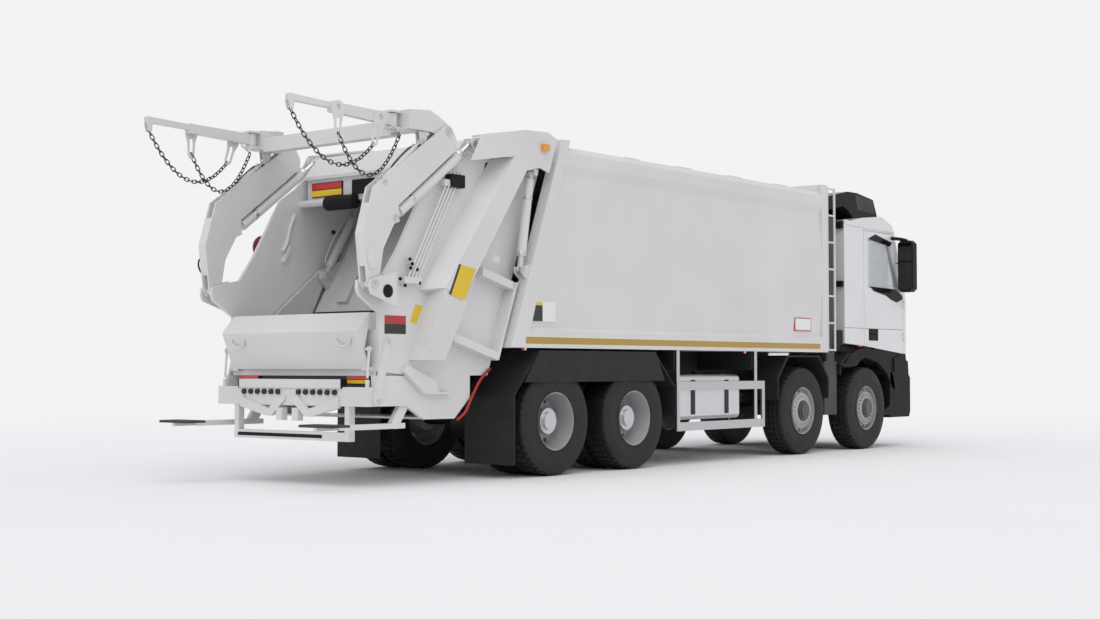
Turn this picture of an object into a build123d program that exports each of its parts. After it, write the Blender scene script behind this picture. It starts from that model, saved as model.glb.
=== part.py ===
from build123d import *
import math
import os

os.makedirs("parts", exist_ok=True)

# A four-axle garbage truck with a packing body, a raised skip lift and two chain arms.
# Lengths are in millimetres, +X is the truck's right side, +Y its nose, +Z up from the ground.
# Lengthwise places are measured from the rearmost axle and then set from the truck's middle.

# Overall
nose_y = 8080
chain_tip_y = -3400
datum_y = -(nose_y + chain_tip_y) / 2
gap = 10
seat = 0.3
overrun = 40

# Wheels
axle_ys = {"fourth": 0, "third": 1350, "second": 5030, "first": 6730}
tyre_radius = 552
hub_z = tyre_radius
tyre_width = 315
tyre_shoulder = 40
bead_radius = 296
rim_lip = 14
rim_wall = 12
disc_thick = 16
single_out = 1190
dual_out = 1230
dual_pitch = 350
rim_inset = 10
hub_radius = 132
hub_cap_radius = 92
hub_reach = 30
hand_holes = 10
hand_hole_radius = 26
hand_hole_circle = 250
spindle_radius = 45
spindle_length = 150

# Steering knuckles and axles
kingpin_x = 880
kingpin_radius = 25
knuckle_ear = 55
knuckle_ear_thick = 40
axle_eye_height = 124
web_thick = 40
front_axle_drop = 12
axle_beam_depth = 110
axle_tube_radius = 70
rear_spindle_radius = 60
differential_radius = 215
differential_width = 330

# Chassis frame
rail_half = 430
rail_low, rail_high = 770, 1070
rail_flange, rail_thick = 80, 12
rail_rear_y, rail_front_y = -640, 7700
cross_ys = (-500, 675, 2000, 3300, 4300, 5880, 7600)
cross_size = 120
spring_width, spring_thick, spring_half = 80, 60, 560
hanger_length = 90
engine_x, engine_y, engine_z = 320, (6010, 7250), (640, 1240)
engine_mount_y, engine_mount_z = (6900, 7020), (860, 940)

# Body
body_half = 1250
body_low = 1293
sill_high = 1500
wall_mid_z = 2290
panel_set_in = 35
rail_foot_z, rail_face_z = 3080, 3180
body_shoulder = 3305
roof_top = 3365
wall_inner = 1180
roof_inset = 50
body_front_y = 5427
front_wall_thick = 40
front_post_depth = 139
front_post_top = 3459
floor_thick = 50
seam_foot_y = -733
seam_slope = 0.378
post_low_depth, post_high_depth = 243, 130
post_high_z = 3130
post_inner = 1130
subframe_width = 100
outrigger_ys, outrigger_reach = (2184, 3833), 1205
roof_rib_ys = ((1298, 1546), (2285, 2595), (3365, 3662), (4460, 4737))
roof_rib_high = 22

# Tailgate
tail_reach = 2500
tail_height = 3500
hinge_y, hinge_z = 60, 3440
wall_out, wall_thick = 1040, 40
gusset_thick = 20
hinge_pin_radius = 32
hinge_lug_x, hinge_lug_thick = 970, 50
ear_gap = 6
ear_thick = 30
hinge_boss = 75
arm_foot = (-2530, 1842)
arm_head = (-1537, 3327)
arm_mid_x = 1105
arm_half = 55
arm_plate = 20
arm_pin_radius = 30
tail_cylinder_x = 1180
tail_cylinder_top, tail_cylinder_foot = (-359, 3048), (-520, 2065)
cylinder_gap = 34
foot_ear_half, foot_ear_thick = 30, 18

# Cab
cab_half = 1150
cab_rear_y = 6200
cab_front_y = 7990
cab_low = 1292
cab_top = 3187
cab_wall = 45
door_front_y = 7900
mount_ys = (6300, 7500)
door_gap = 8
door_thick = 60


def side(x):
    """The plane of a side view at a place across the truck: its own axes are Y and Z."""
    return Plane(origin=(x, datum_y, 0), x_dir=(0, 1, 0), z_dir=(1, 0, 0))


def front(y):
    """The plane of a rear view at a place along the truck: its own axes are X and Z."""
    return Plane(origin=(0, datum_y + y, 0), x_dir=(1, 0, 0), z_dir=(0, -1, 0))


def place(x, y, z):
    """A point given by its distance across, from the rearmost axle, and from the ground."""
    return Vector(x, datum_y + y, z)


def plate(points, x_from, x_to, mode=Mode.ADD, grow=0):
    """A flat piece with a side outline, grown all round or not, between two places across the truck."""
    with BuildSketch(side(x_from)) as outline:
        with BuildLine():
            Polyline(*points, close=True)
        make_face()
        if grow:
            offset(amount=grow, kind=Kind.INTERSECTION, mode=Mode.REPLACE)
    extrude(outline.sketch, amount=x_to - x_from, mode=mode)


def both_plates(points, x_from, x_to, mode=Mode.ADD, grow=0):
    """The same flat piece on the right and on the left."""
    for hand in (1, -1):
        plate(points, hand * x_from, hand * x_to, mode, grow)


def across(points, y_from, y_to, mode=Mode.ADD):
    """A piece with an outline seen from behind, between two places along the truck."""
    with BuildSketch(front(y_to)) as outline:
        with BuildLine():
            Polyline(*points, close=True)
        make_face()
    extrude(outline.sketch, amount=y_to - y_from, mode=mode)


def block(x, y, z, mode=Mode.ADD):
    """A box between a low and a high place on each axis."""
    with Locations(place(sum(x) / 2, sum(y) / 2, sum(z) / 2)):
        Box(x[1] - x[0], y[1] - y[0], z[1] - z[0], mode=mode)


def both_blocks(x, y, z, mode=Mode.ADD):
    """The same box on the right and on the left."""
    block(x, y, z, mode)
    block((-x[1], -x[0]), y, z, mode)


def bar(start, end, radius, mode=Mode.ADD):
    """A round bar between two points."""
    first, last = place(*start), place(*end)
    with BuildSketch(Plane(origin=first, z_dir=last - first)) as section:
        Circle(radius)
    extrude(section.sketch, amount=(last - first).length, mode=mode)


def beam(start, end, width, depth, mode=Mode.ADD):
    """A square-edged bar between two points, its width across the truck."""
    first, last = place(*start), place(*end)
    with BuildSketch(Plane(origin=first, x_dir=(1, 0, 0), z_dir=last - first)) as section:
        Rectangle(width, depth)
    extrude(section.sketch, amount=(last - first).length, mode=mode)


def pin(y, z, radius, x_from, x_to, mode=Mode.ADD):
    """A round bar lying across the truck."""
    bar((x_from, y, z), (x_to, y, z), radius, mode)


def slot(start, end, radius, x_from, x_to):
    """Cuts a slot with round ends through flat pieces, between two side-view places."""
    for y, z in (start, end):
        pin(y, z, radius, x_from, x_to, mode=Mode.SUBTRACT)
    beam(((x_from + x_to) / 2, *start), ((x_from + x_to) / 2, *end), abs(x_to - x_from), 2 * radius,
         mode=Mode.SUBTRACT)


def hung(first, low, last, share):
    """A side-view place on a line that hangs through three places, a share of the way along."""
    y = first[0] + share * (last[0] - first[0])
    return (y, sum(b * math.prod((y - other[0]) / (a - other[0]) for other in (first, low, last) if other[0] != a)
                   for a, b in (first, low, last)))


def tail(*shares):
    """Side-view places on the tailgate, as shares of its reach and of its height."""
    return [(-a * tail_reach, b * tail_height) for a, b in shares]


def seam(z, clearance=0):
    """Where the body's slanted rear face lies at a height, less a clearance behind it."""
    return seam_foot_y + (z - body_low) * seam_slope - clearance


def turned(points, y, z, degrees):
    """Side-view points turned about a side-view point."""
    c, s = math.cos(math.radians(degrees)), math.sin(math.radians(degrees))
    return [(y + (a - y) * c - (b - z) * s, z + (a - y) * s + (b - z) * c) for a, b in points]


def save(built, name):
    """Names a finished piece and writes it."""
    built.part.label = name
    export_step(built.part, "parts/" + name + ".step")


# Wheels: each section is a list of (across, radius) points, turned about the axle


def ring_section(points, y):
    """Turns a section about the axle at a place along the truck."""
    axle = Plane(origin=(0, datum_y + y, hub_z), x_dir=(1, 0, 0), z_dir=(0, -1, 0))
    with BuildSketch(axle) as section:
        with BuildLine():
            Polyline(*points, close=True)
        make_face()
    revolve(section.sketch, axis=Axis((0, datum_y + y, hub_z), (1, 0, 0)))


def tyre_ring(out, y, hand):
    """One tyre with its outer wall at a distance across."""
    inner = out - tyre_width
    low, high = bead_radius + seat, tyre_radius
    points = [(inner + tyre_shoulder, low), (inner, (low + high) / 2), (inner, high - tyre_shoulder),
              (inner + tyre_shoulder, high), (out - tyre_shoulder, high), (out, high - tyre_shoulder),
              (out, (low + high) / 2), (out - tyre_shoulder, low)]
    ring_section([(hand * x, r) for x, r in points], y)


def rim_ring(out, y, hand):
    """The rim's barrel under one tyre, with its two lips."""
    high, inner = bead_radius, out - tyre_width + rim_inset
    edge, low = out - rim_inset, bead_radius - rim_wall
    points = [(inner, low), (inner, high + rim_lip), (inner + rim_wall, high + rim_lip),
              (inner + rim_wall, high), (edge - rim_wall, high), (edge - rim_wall, high + rim_lip),
              (edge, high + rim_lip), (edge, low)]
    ring_section([(hand * x, r) for x, r in points], y)


def rim_disc(face_in, face_out, y, hand):
    """The dished disc between the barrel and the hub, with its ring of hand holes."""
    low = bead_radius - rim_wall
    points = [(face_in, low + rim_wall), (face_in + disc_thick, low + rim_wall),
              (face_out + disc_thick, hub_radius - rim_wall), (face_out, hub_radius - rim_wall)]
    ring_section([(hand * x, r) for x, r in points], y)
    start = place(hand * (face_in - overrun), y, hub_z)
    with BuildSketch(Plane(origin=start, z_dir=(hand, 0, 0))) as holes:
        with PolarLocations(hand_hole_circle, hand_holes):
            Circle(hand_hole_radius)
    extrude(holes.sketch, amount=face_out - face_in + 2 * overrun + disc_thick, mode=Mode.SUBTRACT)


wheel_names = []
for axle_name, axle_y in axle_ys.items():
    steered = axle_name in ("first", "second")
    for hand, hand_name in ((1, "right"), (-1, "left")):
        wheel_name = axle_name + "_" + hand_name
        wheel_names.append(wheel_name)
        outs = (single_out,) if steered else (dual_out, dual_out - dual_pitch)
        with BuildPart() as tyre:
            for out in outs:
                tyre_ring(out, axle_y, hand)
        save(tyre, "tyre_" + wheel_name)

        hub_in = kingpin_x + knuckle_ear + web_thick + gap if steered else outs[-1] - tyre_width + rim_inset
        hub_out = outs[0] + (hub_reach if steered else -tyre_width / 4)
        with BuildPart() as rim:
            for out in outs:
                rim_ring(out, axle_y, hand)
            if steered:
                rim_disc(outs[0] - tyre_width / 3, outs[0] - disc_thick, axle_y, hand)
            else:
                dish = outs[0] - tyre_width + rim_inset + rim_wall
                rim_disc(dish, dish + disc_thick, axle_y, hand)
                block_in = outs[-1] - rim_inset - rim_wall
                ring_section([(hand * x, r) for x, r in (
                    (block_in, bead_radius - rim_wall), (block_in, bead_radius + rim_lip),
                    (dish, bead_radius + rim_lip), (dish, bead_radius - rim_wall))], axle_y)
            cap_in = hub_out - hub_reach
            ring_section([(hand * x, r) for x, r in (
                (hub_in, 0), (hub_in, hub_radius), (cap_in, hub_radius), (cap_in, hub_cap_radius),
                (hub_out, hub_cap_radius), (hub_out, 0))], axle_y)
            bore = (spindle_radius if steered else rear_spindle_radius) + seat
            pin(axle_y, hub_z, bore, hand * (hub_in - overrun), hand * (hub_in + spindle_length + seat),
                mode=Mode.SUBTRACT)
        save(rim, "rim_" + wheel_name)

        if steered:
            ear_x = (kingpin_x - knuckle_ear, kingpin_x + knuckle_ear + web_thick)
            eye_low, eye_high = hub_z - axle_eye_height / 2, hub_z + axle_eye_height / 2
            with BuildPart() as knuckle:
                for ear_low in (eye_low - gap - knuckle_ear_thick, eye_high + gap):
                    with Locations(place(hand * kingpin_x, axle_y, ear_low + knuckle_ear_thick / 2)):
                        Cylinder(knuckle_ear, knuckle_ear_thick)
                    block(sorted((hand * kingpin_x, hand * ear_x[1])), (axle_y - knuckle_ear, axle_y + knuckle_ear),
                          (ear_low, ear_low + knuckle_ear_thick))
                block(sorted((hand * (ear_x[1] - web_thick + gap), hand * ear_x[1])),
                      (axle_y - knuckle_ear, axle_y + knuckle_ear), (eye_low - gap, eye_high + gap))
                bar((hand * kingpin_x, axle_y, eye_low - gap - knuckle_ear_thick / 2),
                    (hand * kingpin_x, axle_y, eye_high + gap + knuckle_ear_thick / 2), kingpin_radius)
                pin(axle_y, hub_z, spindle_radius, hand * (ear_x[1] - web_thick / 2),
                    hand * (hub_in + spindle_length))
            save(knuckle, "knuckle_" + wheel_name)

# Driveline: the front beams with eyes for the kingpins, the rear tubes with a drive case, the engine

with BuildPart() as driveline:
    for axle_name in ("first", "second"):
        y = axle_ys[axle_name]
        beam_z = hub_z - front_axle_drop
        block((-kingpin_x, kingpin_x), (y - knuckle_ear / 2, y + knuckle_ear / 2),
              (beam_z - axle_beam_depth / 2, beam_z + axle_beam_depth / 2))
        with Locations(*(place(hand * kingpin_x, y, hub_z) for hand in (1, -1))):
            Cylinder(knuckle_ear, axle_eye_height)
            Cylinder(kingpin_radius + seat, axle_eye_height + overrun, mode=Mode.SUBTRACT)
    for axle_name in ("third", "fourth"):
        y = axle_ys[axle_name]
        tube_end = dual_out - dual_pitch - tyre_width
        pin(y, hub_z, axle_tube_radius, -tube_end, tube_end)
        pin(y, hub_z, rear_spindle_radius, -(tube_end + rim_inset + spindle_length),
            tube_end + rim_inset + spindle_length)
        with Locations(place(0, y, hub_z)):
            Sphere(differential_radius)
    block((-engine_x, engine_x), engine_y, engine_z)
    both_blocks((engine_x, rail_half - rail_thick - seat), engine_mount_y, engine_mount_z)
save(driveline, "driveline")

# Chassis frame: rails, cross members, springs, the longitudinals under the body and the cab's mounts

rail_z = (rail_low, rail_high)
rail_y = (rail_rear_y, rail_front_y)
spring_x = (rail_half - rail_flange, rail_half)
with BuildPart() as frame:
    both_blocks((rail_half - rail_thick, rail_half), rail_y, rail_z)
    both_blocks((rail_half - rail_flange, rail_half), rail_y, (rail_low, rail_low + rail_thick))
    both_blocks((rail_half - rail_flange, rail_half), rail_y, (rail_high - rail_thick, rail_high))
    for y in cross_ys:
        block((-rail_half, rail_half), (y - cross_size / 2, y + cross_size / 2),
              (rail_high - cross_size - rail_thick, rail_high - rail_thick))
    for axle_name, y in axle_ys.items():
        steered = axle_name in ("first", "second")
        top = hub_z + (axle_beam_depth / 2 - front_axle_drop if steered else axle_tube_radius) + seat
        both_blocks(spring_x, (y - spring_half, y + spring_half), (top, top + spring_thick))
        for end in (-1, 1):
            hanger = sorted((y + end * spring_half, y + end * (spring_half - hanger_length)))
            both_blocks(spring_x, hanger, (top, rail_low))
    both_blocks((rail_half - subframe_width, rail_half), (rail_rear_y, body_front_y), (rail_high, body_low))
    for y in outrigger_ys:
        both_blocks((rail_half, outrigger_reach), (y - cross_size / 2, y + cross_size / 2), (rail_high, body_low))
    for y in mount_ys:
        both_blocks((rail_half - subframe_width, rail_half), (y - cross_size / 2, y + cross_size / 2),
                    (rail_high, cab_low))
save(frame, "frame")

# Body

inner_skin = wall_inner
low_set_in, high_set_in = body_half - panel_set_in, body_half - panel_set_in


def body_rear_cut():
    """Cuts away all that lies behind the body's slanted rear posts."""
    top_z = front_post_top + overrun
    plate([(seam(0) - body_half, 0), (seam(body_low, 0) + post_low_depth, body_low),
           (seam(post_high_z, 0) + post_high_depth, post_high_z),
           (seam(top_z, 0) + post_high_depth, top_z), (seam(0) - body_half, top_z)],
          -body_half - overrun, body_half + overrun, mode=Mode.SUBTRACT)


body_rear_y = seam_foot_y
with BuildPart() as body_sides:
    for hand in (1, -1):
        with BuildSketch(front(body_rear_y)) as section:
            with BuildLine():
                Polyline((hand * low_set_in, sill_high), (hand * body_half, sill_high - panel_set_in),
                         (hand * body_half, body_low), (hand * inner_skin, body_low),
                         (hand * inner_skin, body_shoulder), (hand * body_half, body_shoulder),
                         (hand * body_half, rail_face_z), (hand * high_set_in, rail_foot_z))
                ThreePointArc((hand * high_set_in, rail_foot_z), (hand * body_half, wall_mid_z),
                              (hand * low_set_in, sill_high))
            make_face()
        extrude(section.sketch, amount=-(body_front_y - body_rear_y))
    body_rear_cut()
save(body_sides, "body_sides")

with BuildPart() as body_floor:
    block((-inner_skin, inner_skin), (body_rear_y, body_front_y), (body_low, body_low + floor_thick))
    block((-inner_skin, inner_skin), (body_front_y - front_wall_thick, body_front_y),
          (body_low, body_shoulder - floor_thick))
    body_rear_cut()
save(body_floor, "body_floor")

with BuildPart() as body_roof:
    across([(-inner_skin, body_shoulder - floor_thick), (-inner_skin, body_shoulder),
            (-body_half, body_shoulder), (-body_half + roof_inset, roof_top), (body_half - roof_inset, roof_top),
            (body_half, body_shoulder), (inner_skin, body_shoulder), (inner_skin, body_shoulder - floor_thick)],
           body_rear_y, body_front_y)
    for rib in roof_rib_ys:
        block((-body_half + 2 * roof_inset, body_half - 2 * roof_inset), rib, (roof_top, roof_top + roof_rib_high))
    body_rear_cut()
save(body_roof, "body_roof")

wedge_start_y = 4709
ladder_ys = (5627, 5815)
ladder_low, ladder_high = 1310, 3445
ladder_rungs = 7
ladder_x, ladder_rail, ladder_rung = 1215, 16, 13
with BuildPart() as front_frame:
    post_y = (body_front_y, body_front_y + front_post_depth)
    both_blocks((post_inner, body_half), post_y, (body_low, front_post_top))
    block((-post_inner, post_inner), post_y, (roof_top - 2 * front_post_depth, front_post_top - roof_inset))
    block((-post_inner, post_inner), post_y, (body_low, sill_high))
    both_plates([(wedge_start_y, roof_top), (body_front_y, front_post_top), (body_front_y, roof_top)],
                body_half - 2 * roof_inset, body_half - roof_inset)
    for y in ladder_ys:
        bar((ladder_x, y, ladder_low), (ladder_x, y, ladder_high), ladder_rail)
    for step in range(ladder_rungs):
        z = ladder_low + ladder_rail + step * (ladder_high - ladder_low - 2 * ladder_rail) / (ladder_rungs - 1)
        bar((ladder_x, ladder_ys[0], z), (ladder_x, ladder_ys[1], z), ladder_rung)
    for z in (ladder_low + ladder_rail, ladder_high - ladder_rail):
        bar((ladder_x, body_front_y + front_post_depth / 2, z), (ladder_x, ladder_ys[0], z), ladder_rung)
save(front_frame, "front_frame")

with BuildPart() as rear_frame:
    post = [(seam(body_low), body_low), (seam(body_low) + post_low_depth, body_low),
            (seam(post_high_z) + post_high_depth, post_high_z),
            (seam(hinge_z - gap) + post_high_depth, hinge_z - gap), (seam(hinge_z - gap), hinge_z - gap)]
    both_plates(post, post_inner, body_half)
    top_low = rail_foot_z + 2 * panel_set_in
    plate([(seam(top_low), top_low), (seam(top_low) + post_high_depth, top_low),
           (seam(body_shoulder) + post_high_depth, body_shoulder), (seam(body_shoulder), body_shoulder)],
          -post_inner, post_inner)
    plate([(seam(body_low), body_low), (seam(body_low) + post_low_depth, body_low),
           (seam(sill_high) + post_low_depth - panel_set_in, sill_high - roof_inset),
           (seam(sill_high), sill_high - roof_inset)], -post_inner, post_inner)
    for ear_x in (hinge_lug_x - hinge_lug_thick / 2 - ear_gap - ear_thick, hinge_lug_x + hinge_lug_thick / 2 + ear_gap):
        both_plates([(seam(body_shoulder), body_shoulder), (seam(body_shoulder) + post_high_depth, body_shoulder),
                     (hinge_y + hinge_boss, hinge_z), (hinge_y + hinge_boss / 2, hinge_z + hinge_boss),
                     (hinge_y - hinge_boss / 2, hinge_z + hinge_boss), (hinge_y - hinge_boss, hinge_z)],
                    ear_x, ear_x + ear_thick)
    for hand in (1, -1):
        pin(hinge_y, hinge_z, hinge_pin_radius, hand * (hinge_lug_x - hinge_lug_thick / 2 - ear_gap - ear_thick / 2),
            hand * (hinge_lug_x + hinge_lug_thick / 2 + ear_gap + ear_thick / 2))
    for x in (tail_cylinder_x - cylinder_gap - foot_ear_thick, tail_cylinder_x + cylinder_gap):
        y, z = tail_cylinder_foot
        both_plates([(seam(z + 2 * foot_ear_half), z + 2 * foot_ear_half), (y - foot_ear_half, z + foot_ear_half),
                     (y - foot_ear_half, z - foot_ear_half), (seam(z - 3 * foot_ear_half), z - 3 * foot_ear_half)],
                    x, x + foot_ear_thick)
save(rear_frame, "rear_frame")

# Mudguards over all the wheels

guard_x = (1242, 1254)
guard_top, guard_skin = 1268, 15
guard_low = 950
flap_y, flap_low, flap_high = -690, 136, 813
front_flap_y, front_flap_low, front_flap_high = 2108, 558, 877
guard_inner = 600
guard_foot_rear_y, guard_rear_y, guard_front_y, guard_foot_front_y = -528, -292, 1714, 1884
arch_half, arch_low, arch_top, arch_skin = 640, 700, 1250, 20
arch_x = (850, 1200)
cab_arch_half, cab_arch_low, cab_arch_top = 660, 1000, 1290


def arch(y, half, low, top, skin):
    """The side outline of a wheel arch, a band of straight flats over a wheel."""
    outer = [(-half, low), (-half, (low + top) / 2), (-half * arch_flat_share, top), (half * arch_flat_share, top),
             (half, (low + top) / 2), (half, low)]
    inner = [(a - skin if a > 0 else a + skin, b if b == low else b - skin) for a, b in reversed(outer)]
    return [(y + a, b) for a, b in outer + inner]


arch_flat_share = 0.62
with BuildPart() as mudguards:
    both_plates([(guard_foot_rear_y, guard_low), (guard_rear_y, guard_top), (guard_front_y, guard_top),
                 (guard_foot_front_y, guard_low)], guard_x[0], guard_x[1])
    both_plates([(flap_y, flap_high), (guard_rear_y, guard_top), (guard_front_y, guard_top),
                 (front_flap_y, front_flap_high), (front_flap_y - guard_skin, front_flap_high),
                 (guard_front_y - guard_skin, guard_top - guard_skin),
                 (guard_rear_y + guard_skin, guard_top - guard_skin), (flap_y + guard_skin, flap_high)],
                guard_inner, guard_x[0])
    both_blocks((guard_inner, guard_x[1]), (flap_y, flap_y + guard_skin), (flap_low, flap_high))
    both_blocks((guard_inner, guard_x[1]), (front_flap_y - guard_skin, front_flap_y),
                (front_flap_low, front_flap_high))
    both_blocks((rail_half, guard_inner + guard_skin), (axle_ys["third"] / 2 - cross_size, axle_ys["third"] / 2 + cross_size),
                (guard_top - guard_skin - overrun, guard_top - guard_skin))
    both_plates(arch(axle_ys["second"], arch_half, arch_low, arch_top, arch_skin), arch_x[0], arch_x[1])
    both_blocks((rail_half, arch_x[0]), (axle_ys["second"] - cross_size, axle_ys["second"] + cross_size),
                (arch_top - arch_skin - overrun, arch_top - arch_skin))
    both_plates(arch(axle_ys["first"], cab_arch_half, cab_arch_low, cab_arch_top, arch_skin), arch_x[0], cab_half)
    both_blocks((rail_half - rail_flange, arch_x[0]), (axle_ys["first"] - cross_size, axle_ys["first"] + cross_size),
                (cab_arch_top - arch_skin - overrun, cab_arch_top - arch_skin))
    both_blocks((rail_half - rail_flange, rail_half), (axle_ys["first"] - cross_size, axle_ys["first"] + cross_size),
                (rail_high + seat, cab_arch_top - arch_skin))
save(mudguards, "mudguards")

# Tanks, boxes, side guards and the gear between cab and body

tank_x, tank_y, tank_z = (700, 1180), (2268, 3528), (500, 1015)
tank_round = 60
strap_thick, strap_width = 12, 60
strap_shares = (0.22, 0.78)
with BuildPart() as fuel_tank:
    block(tank_x, tank_y, tank_z)
    fillet(fuel_tank.edges().filter_by(Axis.Y), tank_round)
    for share in strap_shares:
        y = tank_y[0] + share * (tank_y[1] - tank_y[0])
        strap = (y - strap_width / 2, y + strap_width / 2)
        block((rail_half, tank_x[1] - tank_round), strap, (tank_z[1], tank_z[1] + strap_thick))
        block((rail_half, tank_x[1] - tank_round), strap, (tank_z[0] - strap_thick, tank_z[0]))
        block((tank_x[1], tank_x[1] + strap_thick), strap, (tank_z[0] + tank_round, tank_z[1] - tank_round))
        block((rail_half, rail_half + strap_thick), strap, (tank_z[0] - strap_thick, tank_z[1] + strap_thick))
save(fuel_tank, "fuel_tank")

box_x, box_y, box_z = (-1180, -rail_half), (2268, 3100), (560, 1000)
air_tank_radius, air_tank_ys = 135, (3250, 3800)
air_tank_z = 640
muffler_x, muffler_y, muffler_z = (rail_half + 80, 1120), (5690, 6040), (480, 1180)
duct_x, duct_y, duct_z = (960, 1110), (5780, 6000), (1180, 3080)
duct_round = 20
with BuildPart() as chassis_boxes:
    block(box_x, box_y, box_z)
    for x in (rail_half + air_tank_radius + gap, rail_half + 3 * air_tank_radius + 2 * gap):
        bar((-x, air_tank_ys[0], air_tank_z), (-x, air_tank_ys[1], air_tank_z), air_tank_radius)
        for share in strap_shares:
            y = air_tank_ys[0] + share * (air_tank_ys[1] - air_tank_ys[0])
            block((-rail_half - 4 * air_tank_radius, -rail_half), (y - strap_width / 2, y + strap_width / 2),
                  (air_tank_z + air_tank_radius - strap_thick, rail_low + cross_size))
    block(muffler_x, muffler_y, muffler_z)
    block((rail_half, muffler_x[0]), (muffler_y[0] + cross_size, muffler_y[0] + 2 * cross_size),
          (rail_low, rail_high))
    block(duct_x, duct_y, duct_z)
    fillet(chassis_boxes.edges().filter_by(Axis.Z).filter_by(lambda e: e.length > duct_round * 10), duct_round)
save(chassis_boxes, "chassis_boxes")

guard_rail_x = (1225, 1245)
guard_rail_ys = (2133, 4006)
guard_rail_zs = ((382, 480), (840, 937))
guard_post = 60
with BuildPart() as side_guards:
    for z in guard_rail_zs:
        both_blocks(guard_rail_x, guard_rail_ys, z)
    for y in (guard_rail_ys[0], guard_rail_ys[1] - guard_post):
        both_blocks(guard_rail_x, (y, y + guard_post), (guard_rail_zs[0][0], guard_rail_zs[1][1]))
    for y in outrigger_ys:
        both_blocks((outrigger_reach, guard_rail_x[0]), (y - guard_post / 2, y + guard_post / 2),
                    (guard_rail_zs[0][0], body_low - seat))
save(side_guards, "side_guards")

# Cab


def cab(*shares):
    """Side-view places on the cab, as shares of its length and of its height."""
    return [(cab_rear_y + a * (cab_front_y - cab_rear_y), b * cab_top) for a, b in shares]


cab_shares = ((0, 0.4462), (0.3073, 0.4362), (0.9497, 0.4054), (1, 0.4054), (1, 0.6527), (0.8045, 0.9413),
              (0.7765, 0.9671), (0.5972, 1), (0.2793, 0.9821), (0, 0.9523))
door_shares = ((0.3073, 0.4362), (0.3073, 0.9288), (0.7598, 0.9288), (0.9497, 0.6652), (0.9497, 0.4054))
window_shares = ((0.3637, 0.6853), (0.3637, 0.8911), (0.7263, 0.8911), (0.9106, 0.6903), (0.9106, 0.6495),
                 (0.7821, 0.6853))
screen_shares = ((0.70, 0.68), (1.1, 0.68), (1.1, 0.925), (0.70, 0.925))
glass_thick = 6
screen_half = 1010
screen_line = cab((1, 0.6527), (0.8045, 0.9413))
screen_slope = (screen_line[1][0] - screen_line[0][0]) / (screen_line[1][1] - screen_line[0][1])
glass_low, glass_high = cab((0, 0.68), (0, 0.925))[0][1] + 2 * seat, cab((0, 0.68), (0, 0.925))[1][1] - 2 * seat


def screen_y(z):
    """How far forward the sloped front of the cab lies at a height."""
    return screen_line[0][0] + (z - screen_line[0][1]) * screen_slope


door_hinge_x, door_hinge_y = cab_half + 14, door_front_y + 4
door_hinge_zs = (1500, 1960)
door_knuckle, knuckle_high, door_hinge_pin = 12, 60, 6
with BuildPart() as cab_shell:
    plate(cab(*cab_shares), -cab_half, cab_half)
    plate(cab(*cab_shares), -cab_half + cab_wall, cab_half - cab_wall, mode=Mode.SUBTRACT, grow=-cab_wall)
    both_plates(cab(*door_shares), cab_half - door_thick - gap, cab_half + overrun, mode=Mode.SUBTRACT,
                grow=door_gap)
    plate(cab(*screen_shares), -screen_half, screen_half, mode=Mode.SUBTRACT)
    for hand in (1, -1):
        for z in door_hinge_zs:
            for low in (z - door_knuckle - gap / 2, z + knuckle_high + gap / 2):
                bar((hand * door_hinge_x, door_hinge_y, low), (hand * door_hinge_x, door_hinge_y, low + door_knuckle),
                    door_knuckle)
                block(sorted((hand * cab_half, hand * (cab_half + gap))),
                      (door_hinge_y, door_hinge_y + 2 * overrun), (low, low + door_knuckle))
            bar((hand * door_hinge_x, door_hinge_y, z - door_knuckle), (hand * door_hinge_x, door_hinge_y, z + knuckle_high + gap),
                door_hinge_pin)
save(cab_shell, "cab_shell")

with BuildPart() as windscreen:
    inset = cab_wall / 2
    plate([(screen_y(glass_low) - inset, glass_low), (screen_y(glass_high) - inset, glass_high),
           (screen_y(glass_high) - inset - glass_thick, glass_high), (screen_y(glass_low) - inset - glass_thick, glass_low)],
          -screen_half + seat, screen_half - seat)
save(windscreen, "windscreen")

mirror_x, mirror_y, mirror_z = (1225, 1450), (7610, 7740), (2151, 2868)
mirror_arm, mirror_corner = 12, 45
mirror_arm_feet = ((7826, 2250), (7683, 2560))
for hand, hand_name in ((1, "right"), (-1, "left")):
    with BuildPart() as door:
        plate(cab(*door_shares), hand * (cab_half - door_thick), hand * cab_half)
        plate(cab(*window_shares), hand * (cab_half - door_thick - overrun), hand * (cab_half + overrun),
              mode=Mode.SUBTRACT)
        (near, far), (low, high), cut_off = mirror_x, mirror_z, mirror_corner
        across([(hand * x, z) for x, z in (
            (near + cut_off, low), (far - cut_off, low), (far, low + cut_off), (far, high - cut_off),
            (far - cut_off, high), (near + cut_off, high), (near, high - cut_off), (near, low + cut_off))], *mirror_y)
        for y, z in mirror_arm_feet:
            bar((hand * (cab_half - door_thick / 2), y, z),
                (hand * (mirror_x[0] + overrun), mirror_y[0] + overrun, z), mirror_arm)
        for z in door_hinge_zs:
            bar((hand * door_hinge_x, door_hinge_y, z), (hand * door_hinge_x, door_hinge_y, z + knuckle_high), door_knuckle)
            block(sorted((hand * cab_half, hand * (cab_half + gap))), (door_hinge_y - 2 * overrun, door_hinge_y),
                  (z, z + knuckle_high))
            bar((hand * door_hinge_x, door_hinge_y, z), (hand * door_hinge_x, door_hinge_y, z + knuckle_high),
                door_hinge_pin + seat, mode=Mode.SUBTRACT)
    save(door, "door_" + hand_name)
    with BuildPart() as door_glass:
        plate(cab(*window_shares), hand * (cab_half - door_thick / 2 - glass_thick), hand * (cab_half - door_thick / 2),
              grow=-seat)
    save(door_glass, "door_glass_" + hand_name)

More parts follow.
